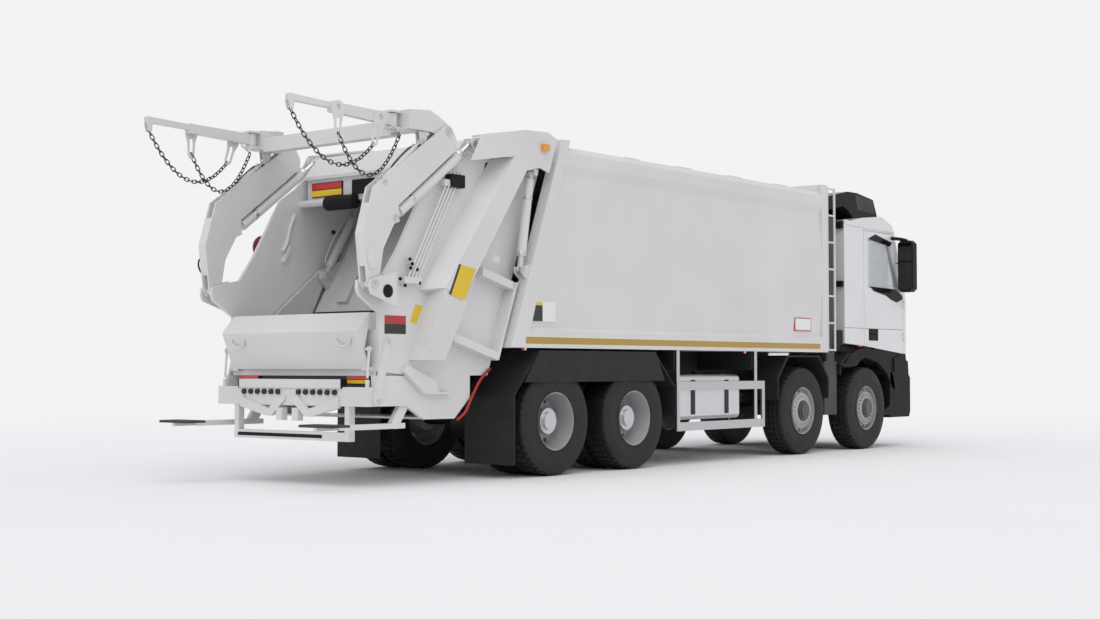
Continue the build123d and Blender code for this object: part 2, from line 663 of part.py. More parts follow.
bumper_half = 1165
bumper_rear_y, bumper_front = 7440, (7900, nose_y)
bumper_return = 240
bumper_low_z, bumper_high_z = 406, 1036
lamp_x, lamp_z = (850, 1110), (640, 810)
grille_half, grille_z = 760, (1080, 1980)
grille_thick = 30
tow_radius, tow_deep, tow_z = 25, 120, 560
grille_shares = (0.2, 0.4, 0.6, 0.8)
with BuildPart() as bumper:
    plate([(bumper_front[0], bumper_low_z), (bumper_front[1] - overrun, bumper_low_z),
           (bumper_front[1], bumper_low_z + 2 * overrun), (bumper_front[1], bumper_high_z - 2 * overrun),
           (bumper_front[1] - 2 * overrun, bumper_high_z), (bumper_front[0], bumper_high_z)],
          -bumper_half, bumper_half)
    both_plates([(bumper_rear_y, bumper_low_z), (bumper_front[0], bumper_low_z),
                 (bumper_front[0], bumper_high_z), (bumper_rear_y + overrun, bumper_high_z)],
                bumper_half - bumper_return, bumper_half)
    bar((0, bumper_front[1] - tow_deep, tow_z), (0, bumper_front[1] + overrun, tow_z), tow_radius, mode=Mode.SUBTRACT)
    both_blocks(lamp_x, (bumper_front[1] - overrun / 2, bumper_front[1] + overrun), lamp_z, mode=Mode.SUBTRACT)
    both_blocks((rail_half - rail_flange, rail_half), (rail_front_y, bumper_front[0]), rail_z)
    block((-grille_half, grille_half), (cab_front_y + seat, cab_front_y + seat + grille_thick),
          (bumper_high_z - 2 * overrun, grille_z[1]))
    for share in grille_shares:
        z = grille_z[0] + share * (grille_z[1] - grille_z[0])
        block((-grille_half + overrun, grille_half - overrun),
              (cab_front_y + seat + grille_thick / 2, cab_front_y + overrun + grille_thick), (z - overrun, z + overrun),
              mode=Mode.SUBTRACT)
save(bumper, "bumper")

roof_unit_half = 950
roof_unit_shares = ((-0.08, 1.001), (0.1933, 1.0323), (0.2771, 1.0166), (0.3732, 0.98), (0.6861, 0.98),
                    (0.7508, 1.0035), (0.6765, 1.0816), (0.4134, 1.0988), (0.2665, 1.0982), (-0.08, 1.059))
visor_half = 1080
visor_shares = ((0.77, 0.96), (0.838, 0.9445), (0.832, 0.9398), (0.76, 0.93))
with BuildPart() as roof_unit:
    plate(cab(*roof_unit_shares), -roof_unit_half, roof_unit_half)
    plate(cab(*visor_shares), -visor_half, visor_half)
    plate(cab(*cab_shares), -cab_half - overrun, cab_half + overrun, mode=Mode.SUBTRACT, grow=seat)
save(roof_unit, "roof_unit")

seat_half, seat_x = 250, 560
cushion_z, back_top = (1780, 1920), 2650
seat_y, back_y = (6650, 7150), (6560, 6690)
seat_foot_z = 1434
dash_z, dash_y = (1800, 2065), (7520, 7944.7)
wheel_centre = (-seat_x, 7330, 2230)
column_foot = (-seat_x, 7640, 1960)
steering_radius, steering_grip, steering_hub = 225, 30, 60
with BuildPart() as cab_interior:
    for x in (seat_x, -seat_x):
        block((x - seat_half, x + seat_half), seat_y, cushion_z)
        block((x - seat_half, x + seat_half), back_y, (cushion_z[0], back_top))
        block((x - seat_half / 2, x + seat_half / 2), (seat_y[0] + cross_size, seat_y[1] - cross_size),
              (seat_foot_z, cushion_z[0]))
    block((-cab_half + cab_wall + door_thick, cab_half - cab_wall - door_thick), dash_y, dash_z)
    with BuildSketch(Plane(origin=place(*wheel_centre), z_dir=(0, -1, 2))) as steering_rim:
        Circle(steering_radius)
        Circle(steering_radius - steering_grip, mode=Mode.SUBTRACT)
        Rectangle(2 * steering_radius - steering_grip, steering_grip)
        Circle(steering_hub)
    extrude(steering_rim.sketch, amount=steering_grip)
    bar(wheel_centre, column_foot, steering_grip)
save(cab_interior, "cab_interior")

# Tailgate walls with their ribs, the lift's foot brackets and the hand controls

wall_front = (3300, 1020)
arm_x = (arm_mid_x - arm_half, arm_mid_x + arm_half)
ear_x = (1172, 1192)
bracket_y, bracket_z = (-2330, -2253), (1700, 1940)
wall_shares = ((0.4, 0.2914), (0.76, 0.2914), (0.932, 0.3029), (0.932, 0.4543), (1.03, 0.5), (1.04, 0.5171),
               (1.036, 0.5371), (0.9852, 0.5483), (0.9012, 0.56), (0.836, 0.6249), (0.6928, 0.7977),
               (0.6044, 0.8414), (0.5564, 0.8754), (0.472, 0.9429))
ear_shares = ((1.04, 0.5171), (1.036, 0.5371), (0.9852, 0.5483), (0.9012, 0.56), (0.9012, 0.47), (1.03, 0.5))
flange_width = 130
flange_z = (1170, 1940)
flange_back = 30
shelf_shares = (((0.424, 0.59), (0.24, 0.5557)), ((0.588, 0.4071), (0.332, 0.3557)))
shelf_depth = 80
control_ends = ((-1427, 2852), (-1960, 1903))
control_stand, control_pitch, control_radius = 60, 45, 9
bottle_x, bottle_y, bottle_z, bottle_radius = 1150, -1749, (2190, 2400), 90
with BuildPart() as tail_walls:
    for hand in (1, -1):
        plate([(seam(wall_front[0], gap), wall_front[0]), (seam(wall_front[1], gap), wall_front[1])]
              + tail(*wall_shares), hand * (wall_out - wall_thick), hand * wall_out)
        plate(tail(*ear_shares), hand * ear_x[0], hand * ear_x[1])
        block(sorted((hand * wall_out, hand * ear_x[0])), bracket_y, bracket_z)
        pin(arm_foot[0], arm_foot[1], arm_pin_radius, hand * wall_out, hand * ear_x[1])
    back = gap + flange_back
    both_plates([(seam(flange_z[1], back), flange_z[1]), (seam(flange_z[0], back), flange_z[0]),
                 (seam(flange_z[0], back) - overrun, flange_z[0]), (seam(flange_z[1], back) - overrun, flange_z[1])],
                wall_out, wall_out + flange_width)
    for shares in shelf_shares:
        rear, fore = tail(*shares)
        both_plates([rear, fore, (fore[0], fore[1] - shelf_depth), (rear[0], rear[1] - shelf_depth)],
                    wall_out, wall_out + flange_width)
    for step in range(4):
        shift = control_pitch * (step - 1.5)
        bar((wall_out + control_stand, control_ends[0][0] + shift, control_ends[0][1]),
            (wall_out + control_stand, control_ends[1][0] + shift, control_ends[1][1]), control_radius)
    for y, z in control_ends:
        block((wall_out, wall_out + control_stand + gap), (y - 2.5 * control_pitch, y + 2.5 * control_pitch),
              (z - 3 * gap, z + 3 * gap))
    bar((-bottle_x, bottle_y, bottle_z[0]), (-bottle_x, bottle_y, bottle_z[1]), bottle_radius)
    block((-bottle_x, -wall_out), (bottle_y - overrun, bottle_y + overrun), (bottle_z[0] + gap, bottle_z[1] - gap))
save(tail_walls, "tail_walls")

# Hopper floor, the low frame under it, its comb, the underrun bar and what carries the foot steps

hopper_in = wall_out - wall_thick
floor_skin = 20
sill_y, sill_top_z = -2330, 1440
trough_low_z, trough_deep, trough_end, lip_z = 1020, (-1960, 1110), (-1400, 1060), 1200
rear_tie_y, rear_tie_z = (-1741, -1319), 611
low_beam_y, low_beam_z = (-2480, -2331), (742, 917)
comb_half, comb_y, comb_z = 716, (-2494, -2420), (905, 988)
tooth_radius, tooth_z = 25, 868
tooth_xs = tuple(first + step * 98 for first in (-640, 140) for step in range(6))
vee_y, vee_shares = (-2500, -2462), ((0.93, 1), (1, 0.95), (1, 0.45), (0.45, 0), (0.34, 0), (0.06, 0.82),
                                     (0.06, 1), (0.2, 1), (0.4, 0.36), (0.93, 0.9))
vee_reach, vee_z = 690, (640, 830)
vee_foot_x, vee_foot_z = (70, 150), (600, 720)
link_plate = ((-2190, 1340), (-2226, 1380), (-2262, 1340), (-2412, 800), (-2396, 750), (-2345, 745), (-2320, 790))
link_thick = 22
underrun_half, underrun_y, underrun_z = 804, (-2470, -2400), (420, 500)
underrun_post = 60
step_x, step_y, step_z = (783, 1202), (-3060, -2836), (560, 590)
step_pivot_y = -2800
step_bar_x, step_bar = 994, 50
step_pin = 14
step_root_y, step_stay = -1965, ((-1829, 960), (-2104, 560))
flap_hinge = (-2360, 1081)
flap_pin, flap_boss = 12, 22
flap_half = 950
skirt_shares = ((0.9324, 0.2914), (0.9324, 0.212), (0.7884, 0.212), (0.6964, 0.1746), (0.5276, 0.174),
                (0.4404, 0.2303), (0.4404, 0.2914))
with BuildPart() as hopper_floor:
    with BuildSketch(side(-hopper_in)) as trough:
        with BuildLine():
            Polyline((sill_y, trough_low_z), (sill_y, sill_top_z), (sill_y + floor_skin, sill_top_z))
            ThreePointArc((sill_y + floor_skin, sill_top_z), trough_deep, trough_end)
            Polyline(trough_end, (seam(lip_z, gap) - floor_skin, lip_z),
                     (seam(lip_z, gap) - floor_skin, lip_z - floor_skin),
                     (trough_end[0], trough_low_z), (sill_y, trough_low_z))
        make_face()
    extrude(trough.sketch, amount=2 * hopper_in)
    block((-wall_out, wall_out), low_beam_y, low_beam_z)
    both_plates(tail(*skirt_shares), hopper_in, wall_out)
    block((-hopper_in, hopper_in), rear_tie_y, (rear_tie_z, rear_tie_z + floor_skin))
    both_blocks((hopper_in, wall_out), (sill_y - underrun_post, sill_y), (low_beam_z[1], trough_low_z))
    block((-comb_half, comb_half), comb_y, comb_z)
    for x in tooth_xs:
        bar((x, comb_y[0] - gap, tooth_z), (x, low_beam_y[0] + gap, tooth_z), tooth_radius)
    for hand in (1, -1):
        across([(hand * a * vee_reach, vee_z[0] + b * (vee_z[1] - vee_z[0])) for a, b in vee_shares], *vee_y)
        block(sorted((hand * vee_foot_x[0], hand * vee_foot_x[1])), (vee_y[0] - gap, low_beam_y[0] + overrun), vee_foot_z)
    both_plates(link_plate, wall_out, wall_out + link_thick)
    block((-underrun_half, underrun_half), underrun_y, underrun_z)
    both_blocks((underrun_half - underrun_post, underrun_half), underrun_y, (underrun_z[1], low_beam_z[0]))
    both_plates([(sill_y, flap_hinge[1] - flap_boss), (flap_hinge[0], flap_hinge[1] - flap_boss),
                 (flap_hinge[0] - flap_boss, flap_hinge[1]), (flap_hinge[0], flap_hinge[1] + flap_boss),
                 (sill_y, flap_hinge[1] + flap_boss)], flap_half + gap, flap_half + gap + floor_skin)
    for hand in (1, -1):
        pin(flap_hinge[0], flap_hinge[1], flap_pin, hand * (flap_half - overrun), hand * (flap_half + 2 * gap))
        x = hand * step_bar_x
        beam((x, step_pivot_y + 3 * gap, step_z[0]), (x, step_root_y, step_z[0]), step_bar, step_bar)
        beam((x, *step_stay[0]), (x, *step_stay[1]), step_bar, 2 * step_bar)
        pin(step_pivot_y, step_z[0], step_pin, x - step_bar, x + step_bar)
        for ear in (-step_bar, step_bar / 2):
            block((x + ear, x + ear + step_bar / 2), (step_pivot_y - 2 * gap, step_pivot_y + 5 * gap),
                  (step_z[0] - 2 * gap, step_z[0] + 2 * gap))
save(hopper_floor, "hopper_floor")

# Tailgate roof with its hinge lugs, the side plates at its top and the brackets of the lift cylinders

gusset_shares = ((0.4596, 0.9551), (0.2068, 0.9877), (0.0664, 0.9926), (0.0048, 0.9774), (0.056, 0.8757),
                 (0.1172, 0.8863), (0.1968, 0.8723), (0.27, 0.9069), (0.328, 0.9011), (0.5232, 0.8777))
rim_shares = ((0.43, 0.9589), (0.2068, 0.9877), (0.0664, 0.9926), (0.0664, 0.9870), (0.2068, 0.982), (0.43, 0.9528))
lift_head = (-1177, 3253)
lift_ear_shares = ((0.424, 0.95), (0.48, 0.945), (0.492, 0.931), (0.48, 0.92), (0.424, 0.9))
lift_bridge_y, lift_bridge_z = (-1095, -1061), (3180, 3310)
roof_z, roof_skin, roof_bend_y = 3300, 40, -1180
brow_y, brow_z = -1391, 3064
header_half, header_y, header_z = 960, (-1400, -1380), (2789, 3070)
header_flange_y, header_flange_z = (-1440, -1360), (3030, 3064)
lug_y, lug_top = -350, 3420
rim_tie_y, cylinder_tie_y, cylinder_tie_z = (-700, -200), (-399, -319), (3010, 3110, 3200)
cylinder_eye_gap = 27
barrel_pin = 22
with BuildPart() as tail_roof:
    plate([(seam(roof_z, gap), roof_z), (roof_bend_y, roof_z), (brow_y, brow_z), (brow_y + roof_skin, brow_z),
           (roof_bend_y + gap, roof_z - roof_skin), (seam(roof_z - roof_skin, gap), roof_z - roof_skin)],
          -hopper_in, hopper_in)
    block((-header_half, header_half), header_y, header_z)
    block((-header_half, header_half), header_flange_y, header_flange_z)
    both_plates([(lug_y, roof_z - roof_skin), (seam(roof_z - roof_skin, gap), roof_z - roof_skin),
                 (seam(roof_z, gap), roof_z), (hinge_y, hinge_z - hinge_boss), (hinge_y + hinge_boss, hinge_z),
                 (hinge_y, hinge_z + hinge_boss), (lug_y, lug_top)],
                hinge_lug_x - hinge_lug_thick / 2, hinge_lug_x + hinge_lug_thick / 2)
    pin(hinge_y, hinge_z, hinge_pin_radius + seat, -wall_out, wall_out, mode=Mode.SUBTRACT)
    both_plates(tail(*gusset_shares), body_half - gusset_thick, body_half)
    both_plates(tail(*rim_shares), wall_out, body_half - gusset_thick)
    both_blocks((wall_out, body_half - gusset_thick), rim_tie_y, (cylinder_tie_z[2], roof_z))
    both_blocks((wall_out, tail_cylinder_x - cylinder_eye_gap), cylinder_tie_y, (cylinder_tie_z[0], cylinder_tie_z[2]))
    both_blocks((tail_cylinder_x + cylinder_eye_gap, body_half - gusset_thick), cylinder_tie_y, cylinder_tie_z[1:])
    both_blocks((wall_out, arm_x[1]), lift_bridge_y, lift_bridge_z)
    for hand in (1, -1):
        pin(tail_cylinder_top[0], tail_cylinder_top[1], barrel_pin, hand * (tail_cylinder_x - cylinder_eye_gap),
            hand * body_half)
        for x in (arm_x[0] - arm_plate / 2, arm_x[1] - arm_plate / 2):
            plate(tail(*lift_ear_shares), hand * x, hand * (x + arm_plate))
save(tail_roof, "tail_roof")

# Slanted guide beams on the tailgate's sides, with the tread strips below them

guide_outer = tail((0.27, 0.9069), (0.1968, 0.8723), (0.5712, 0.496), (0.6684, 0.5254))
guide_inner = tail((0.328, 0.8989), (0.1968, 0.8723), (0.5712, 0.496), (0.7312, 0.5214))
tread_outer = tail((0.6684, 0.5254), (0.5712, 0.496), (0.5396, 0.4923), (0.6672, 0.3331), (0.7784, 0.3329))
with BuildPart() as guide_beams:
    for hand in (1, -1):
        with BuildSketch(side(hand * wall_out)) as foot_section:
            with BuildLine():
                Polyline(*guide_inner, close=True)
            make_face()
        with BuildSketch(side(hand * body_half)) as face_section:
            with BuildLine():
                Polyline(*guide_outer, close=True)
            make_face()
        loft([foot_section.sketch.face(), face_section.sketch.face()])
        plate(tread_outer, hand * wall_out, hand * (body_half - glass_thick))
save(guide_beams, "guide_beams")

rear_lamp_x, rear_lamp_y, rear_lamp_low = (615, 915), (-2325, -2280), 945
beacon = ((-273, -180), (3274, 3344))
with BuildPart() as tail_lamps:
    both_blocks(rear_lamp_x, rear_lamp_y, (rear_lamp_low, trough_low_z - seat))
    both_blocks((body_half + seat, body_half + overrun), *beacon)
save(tail_lamps, "tail_lamps")

# Foot steps and the folding sill flap with its locking rods

with BuildPart() as foot_steps:
    for hand in (1, -1):
        x = hand * step_bar_x
        block(sorted((hand * step_x[0], hand * step_x[1])), step_y, (step_z[1] - 2 * gap, step_z[1]))
        block((x - step_bar / 2 + glass_thick, x + step_bar / 2 - glass_thick), (step_y[0], step_pivot_y + 2 * gap),
              (step_z[0] - 2 * gap, step_z[1] - 2 * gap))
        pin(step_pivot_y, step_z[0], step_pin + seat, x - step_bar, x + step_bar, mode=Mode.SUBTRACT)
save(foot_steps, "foot_steps")

flap_outline = [(-2350, 1081), (-2425, 1259), (-2345, 1600), (-2360, 1600), (-2500, 1450), (-2510, 1425),
                (-2440, 1250), (-2375, 1081)]
handle_x, handle_y, handle_z, handle_radius = (650, 828), -2490, (1293, 1400), 10
rod_x = 999
flap_eye = (-2413, 1263)
rod_foot_z = 1000
with BuildPart() as sill_flap:
    plate(flap_outline, -flap_half, flap_half)
    pin(flap_eye[0], flap_eye[1], flap_pin, -rod_x - 2 * gap, rod_x + 2 * gap)
    for hand in (1, -1):
        near, far = hand * handle_x[0], hand * handle_x[1]
        bar((near, handle_y, handle_z[1]), (near, handle_y, handle_z[0] + overrun), handle_radius)
        bar((far, handle_y, handle_z[1]), (far, handle_y, handle_z[0] + overrun), handle_radius)
        bar((near, handle_y, handle_z[0] + overrun), (near + hand * overrun, handle_y, handle_z[0]), handle_radius)
        bar((far, handle_y, handle_z[0] + overrun), (far - hand * overrun, handle_y, handle_z[0]), handle_radius)
        bar((near + hand * overrun, handle_y, handle_z[0]), (far - hand * overrun, handle_y, handle_z[0]), handle_radius)
        pin(flap_hinge[0], flap_hinge[1], flap_boss, hand * (flap_half - 2 * overrun), hand * flap_half)
        pin(flap_hinge[0], flap_hinge[1], flap_pin + seat, hand * (flap_half - 2 * overrun), hand * flap_half,
            mode=Mode.SUBTRACT)
save(sill_flap, "sill_flap")

with BuildPart() as flap_rods:
    for hand in (1, -1):
        pin(flap_eye[0], flap_eye[1], 2 * flap_pin, hand * rod_x - gap, hand * rod_x + gap)
        bar((hand * rod_x, flap_eye[0], flap_eye[1]), (hand * rod_x, flap_eye[0] - 2 * gap, rod_foot_z), flap_pin)
        pin(flap_eye[0], flap_eye[1], flap_pin + seat, hand * rod_x - 2 * gap, hand * rod_x + 2 * gap,
            mode=Mode.SUBTRACT)
save(flap_rods, "flap_rods")

# Skip lift: two arms, a turning beam across their heads and two chain arms

arm_shares = ((1.036, 0.5286), (1.0576, 0.656), (1.0076, 0.7774), (0.636, 0.9629), (0.592, 0.9571),
              (0.5704, 0.9323), (0.5704, 0.904), (0.882, 0.7354), (0.876, 0.6934), (0.904, 0.6857),
              (0.9584, 0.6194), (0.976, 0.5509), (1.0, 0.5114))
spine_shares = ((1.042, 0.5714), (1.0576, 0.656), (1.025, 0.735), (0.99, 0.735), (0.99, 0.65), (0.98, 0.5714))
arm_head_boss, arm_foot_boss = 55, 48
heel = (-2239, 2454)
heel_pin, heel_boss = 25, 45
tilt_foot = (-2379, 2770)
tilt_pin = 20
with BuildPart() as lift_arms:
    for hand in (1, -1):
        for x in (arm_x[0], arm_x[1] - arm_plate):
            plate(tail(*arm_shares), hand * x, hand * (x + arm_plate))
            for place_yz, radius in ((heel, heel_boss), (arm_foot, arm_foot_boss), (arm_head, arm_head_boss)):
                pin(place_yz[0], place_yz[1], radius, hand * x, hand * (x + arm_plate))
        plate(tail(*spine_shares), hand * (arm_x[0] + arm_plate), hand * (arm_x[1] - arm_plate))
        pin(heel[0], heel[1], heel_pin, hand * arm_x[0], hand * arm_x[1])
        pin(tilt_foot[0], tilt_foot[1], tilt_pin, hand * arm_x[0], hand * arm_x[1])
        pin(arm_foot[0], arm_foot[1], arm_pin_radius + seat, hand * (arm_x[0] - gap), hand * (arm_x[1] + gap),
            mode=Mode.SUBTRACT)
        pin(arm_head[0], arm_head[1], arm_pin_radius, hand * arm_x[0], hand * arm_x[1])
save(lift_arms, "lift_arms")

beam_box_x, beam_box_y, beam_box_z = (900, 1090), (-2057, -1878), (3285, 3476)
pivot_y, pivot_x = -2130, 995
pivot_radius = 20
cross_beam_y, cross_beam_z = (-2050, -1930), (3259, 3401)
tongue_half = 28
tilt_ear_thick = 11
tilt_head = (-1863, 3206)
clevis_half, clevis_thick = 60, 20
clevis_z = (3305, 3456)
neck_shares = ((0.8228, 0.9931), (0.72, 1.0), (0.7, 0.999), (0.7, 0.9429), (0.8228, 0.9429))
tongue_shares = ((0.7, 0.999), (0.6608, 0.9906), (0.592, 0.9657), (0.592, 0.94), (0.636, 0.937), (0.7, 0.9429))
tilt_ear_shares = ((0.764, 0.94), (0.756, 0.9057), (0.732, 0.9057), (0.715, 0.943))
with BuildPart() as lift_beam:
    block((-beam_box_x[0], beam_box_x[0]), cross_beam_y, cross_beam_z)
    for hand in (1, -1):
        block(sorted((hand * beam_box_x[0], hand * beam_box_x[1])), beam_box_y, beam_box_z)
        plate(tail(*neck_shares), hand * (beam_box_x[0] + overrun), hand * (arm_x[1] - gap / 2))
        plate(tail(*tongue_shares), hand * (arm_mid_x - tongue_half), hand * (arm_mid_x + tongue_half))
        pin(arm_head[0], arm_head[1], 1.5 * arm_pin_radius, hand * (arm_mid_x - tongue_half),
            hand * (arm_mid_x + tongue_half))
        pin(arm_head[0], arm_head[1], arm_pin_radius + seat, hand * (arm_x[0] + arm_plate), hand * (arm_x[1] - arm_plate),
            mode=Mode.SUBTRACT)
        for z in clevis_z:
            block(sorted((hand * (pivot_x - clevis_half), hand * (pivot_x + clevis_half))),
                  (pivot_y - clevis_half, beam_box_y[0]), (z - clevis_thick / 2, z + clevis_thick / 2))
        bar((hand * pivot_x, pivot_y, clevis_z[0]), (hand * pivot_x, pivot_y, clevis_z[1]), pivot_radius)
        for x in (arm_mid_x - tongue_half, arm_mid_x + tongue_half - tilt_ear_thick):
            plate(tail(*tilt_ear_shares), hand * x, hand * (x + tilt_ear_thick))
save(lift_beam, "lift_beam")

chain_arm_width, chain_tip_width = 64, 48
chain_tip_z, chain_joint_y = (3398, 3462), -2910
hook_thick, hook_gap = 14, 2
hook_shares = ((0.5, 0), (0.88, 0.1), (1, 0.24), (0.8, 0.55), (0.72, 0.9), (0.5, 1), (0.28, 0.9), (0.2, 0.55),
               (0, 0.24), (0.12, 0.1))
hook_width, hook_long = 130, 305
hook_tops = ((-2842, 3470, 0), (-2296, 3425, 18))
hook_hole, hook_slot, hook_slot_from, hook_slot_to = 22, 17, 0.42, 0.86
chain_runs = (((-3392, 3395), (-2880, 2928), (-2402, 3130)), ((-2842, 3180), (-2440, 2850), (-2085, 3268)))
chain_links, chain_flat, chain_thin = 13, 30, 9
for hand, hand_name in ((1, "right"), (-1, "left")):
    with BuildPart() as chain_arm:
        x = hand * pivot_x
        root_y = pivot_y + overrun
        plate([(root_y, clevis_z[1] - clevis_thick), (root_y, clevis_z[0] + clevis_thick),
               (chain_joint_y, chain_tip_z[0] - overrun), (chain_joint_y, chain_tip_z[1] - gap)],
              x - chain_arm_width / 2, x + chain_arm_width / 2)
        plate([(chain_joint_y + overrun, chain_tip_z[0] - gap), (chain_joint_y + overrun, chain_tip_z[1] - 2 * gap),
               (chain_tip_y, chain_tip_z[1]), (chain_tip_y, chain_tip_z[0])],
              x - chain_tip_width / 2, x + chain_tip_width / 2)
        pin(chain_tip_y + overrun, chain_tip_z[1] - overrun, overrun - gap / 2, x - chain_tip_width / 2,
            x + chain_tip_width / 2)
        block((x - chain_thin, x + chain_thin), (chain_tip_y, chain_tip_y + 2 * gap), (chain_runs[0][0][1] - 2 * gap,
                                                                                       chain_tip_z[0] + gap))
        bar((x, pivot_y, clevis_z[0]), (x, pivot_y, clevis_z[1]), pivot_radius + seat, mode=Mode.SUBTRACT)
        face = hand * chain_arm_width / 2
        for top_y, top_z, lean in hook_tops:
            outline = turned([(top_y + (a - 0.5) * hook_width, top_z - b * hook_long) for a, b in hook_shares],
                             top_y, top_z, lean)
            plate(outline, x + face, x + face + hand * hook_thick)
            hole, low, high = turned([(top_y, top_z - 0.24 * hook_long), (top_y, top_z - hook_slot_to * hook_long),
                                      (top_y, top_z - hook_slot_from * hook_long)], top_y, top_z, lean)
            pin(hole[0], hole[1], hook_hole, x + face, x + face + hand * 3 * hook_thick)
            slot(low, high, hook_slot, x + face + hand * hook_gap, x + face + hand * (hook_thick + hook_gap))
        for run in chain_runs:
            places = [hung(*run, step / chain_links) for step in range(chain_links + 1)]
            for step, (start, end) in enumerate(zip(places, places[1:])):
                flat = step % 2 == 0
                beam((x + face + hand * hook_thick / 2, *start), (x + face + hand * hook_thick / 2, *end),
                     chain_flat if flat else chain_thin, chain_thin if flat else chain_flat)
    save(chain_arm, "chain_arm_" + hand_name)

# Cylinders: each pair shares one node for its barrels and one for its rods

barrel_share = 0.86


def toward(start, end, share):
    """A side-view point part of the way from one pin to another."""
    return (start[0] + share * (end[0] - start[0]), start[1] + share * (end[1] - start[1]))


def barrels(name, x, foot, head, radius, boss, width, pin_radius, rod_radius, eye_clear):
    """A pair of barrels, each with an eye at its foot and a bore for its rod."""
    length = math.dist(foot, head)
    start, end = toward(foot, head, eye_clear / length), toward(foot, head, barrel_share)
    deep, far = toward(foot, head, 2 * eye_clear / length), toward(foot, head, barrel_share + overrun / length)
    with BuildPart() as built:
        for hand in (1, -1):
            bar((hand * x, *start), (hand * x, *end), radius)
            beam((hand * x, *foot), (hand * x, *toward(foot, head, 1.5 * eye_clear / length)), width, boss)
            pin(foot[0], foot[1], boss, hand * x - width / 2, hand * x + width / 2)
            pin(foot[0], foot[1], pin_radius + seat, hand * x - boss * 2, hand * x + boss * 2, mode=Mode.SUBTRACT)
            bar((hand * x, *deep), (hand * x, *far), rod_radius + seat, mode=Mode.SUBTRACT)
    save(built, name)


def rods(name, x, foot, head, rod_radius, boss, width, eye_clear):
    """The pair of rods that slide in those barrels, each with a boss that stands between its bracket's ears."""
    length = math.dist(foot, head)
    with BuildPart() as built:
        for hand in (1, -1):
            bar((hand * x, *toward(foot, head, (2 * eye_clear + gap) / length)), (hand * x, *head), rod_radius)
            pin(head[0], head[1], boss, hand * x - width / 2, hand * x + width / 2)
    save(built, name)


cylinder_rows = (
    # name, across, foot, head, barrel radius, boss radius, eye width, pin radius, rod radius, eye clearance
    ("lift", arm_mid_x, heel, lift_head, 52, 40, 50, heel_pin, 30, 110),
    ("tilt", arm_mid_x, tilt_foot, tilt_head, 28, 32, 26, tilt_pin, 16, 50),
    ("tailgate", tail_cylinder_x, tail_cylinder_top, tail_cylinder_foot, 46, 36, 44, barrel_pin, 30, 70),
)
for name, x, foot, head, radius, boss, width, pin_radius, rod_radius, eye_clear in cylinder_rows:
    barrels(name + "_barrels", x, foot, head, radius, boss, width, pin_radius, rod_radius, eye_clear)
    rods(name + "_rods", x, foot, head, rod_radius, boss, width, eye_clear)

# Packing gear inside the hopper: a carriage that slides along the walls, and a blade between two cheeks
# that swings about pins on the carriage

slab_top, slab_foot = (-637, 2814), (-1313, 1671)
slab_thick = 60
carriage_half = 935
shoe_shares = ((0.05, 0.2), (0.3, 0.45))
rib_xs, rib_width, rib_high, rib_end = (-560, 0, 560), 140, 40, 0.93
blade_pin = (-1209, 2060)
blade_pin_radius, blade_boss = 22, 60
cheek_x = (945, 985)
pin_inner = 880
carriage_ear = [(-950, 2220), (-1000, 2220), (-1265, 2100), (-1265, 2020), (-1180, 1920), (-1120, 1900)]
cheek_outline = [(-1165, 2090), (-1240, 2100), (-1790, 1660), (-1940, 1490), (-1935, 1400), (-1900, 1385),
                 (-1700, 1480), (-1345, 1560), (-1330, 1680), (-1160, 2010)]
blade_outline = [(-1345, 1640), (-1711, 1630), (-1885, 1477), (-1935, 1400), (-1900, 1385), (-1850, 1440),
                 (-1690, 1580), (-1345, 1590)]


def off_slab(share, out):
    """A side-view place a share of the way down the carriage's rear face, and a distance behind it."""
    y, z = toward(slab_top, slab_foot, share)
    length = math.dist(slab_top, slab_foot)
    return (y + out * (slab_foot[1] - slab_top[1]) / length, z - out * (slab_foot[0] - slab_top[0]) / length)


with BuildPart() as packer_carriage:
    plate([slab_top, slab_foot, (off_slab(1, -slab_thick)[0], slab_foot[1]), off_slab(0, -slab_thick)],
          -carriage_half, carriage_half)
    for x in rib_xs:
        plate([slab_top, off_slab(rib_end, 0), off_slab(rib_end, rib_high), off_slab(0, rib_high)],
              x - rib_width / 2, x + rib_width / 2)
    for low, high in shoe_shares:
        both_plates([off_slab(low, 0), off_slab(high, 0), off_slab(high, -slab_thick), off_slab(low, -slab_thick)],
                    carriage_half, hopper_in - seat)
    both_plates(carriage_ear, pin_inner, carriage_half)
    for hand in (1, -1):
        pin(blade_pin[0], blade_pin[1], blade_pin_radius, hand * pin_inner, hand * cheek_x[1])
save(packer_carriage, "packer_carriage")

with BuildPart() as packer_plate:
    plate(blade_outline, -cheek_x[1], cheek_x[1])
    both_plates(cheek_outline, cheek_x[0], cheek_x[1])
    for hand in (1, -1):
        pin(blade_pin[0], blade_pin[1], blade_boss, hand * cheek_x[0], hand * cheek_x[1])
        pin(blade_pin[0], blade_pin[1], blade_pin_radius + seat, hand * (cheek_x[0] - gap), hand * (cheek_x[1] + gap),
            mode=Mode.SUBTRACT)
save(packer_plate, "packer_plate")
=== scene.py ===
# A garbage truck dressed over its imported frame: finishes, lamps, chains, tread, trim and the studio.
# Lengths in calls are millimetres: across from the middle, along from the rearmost axle, up from the ground.
import math

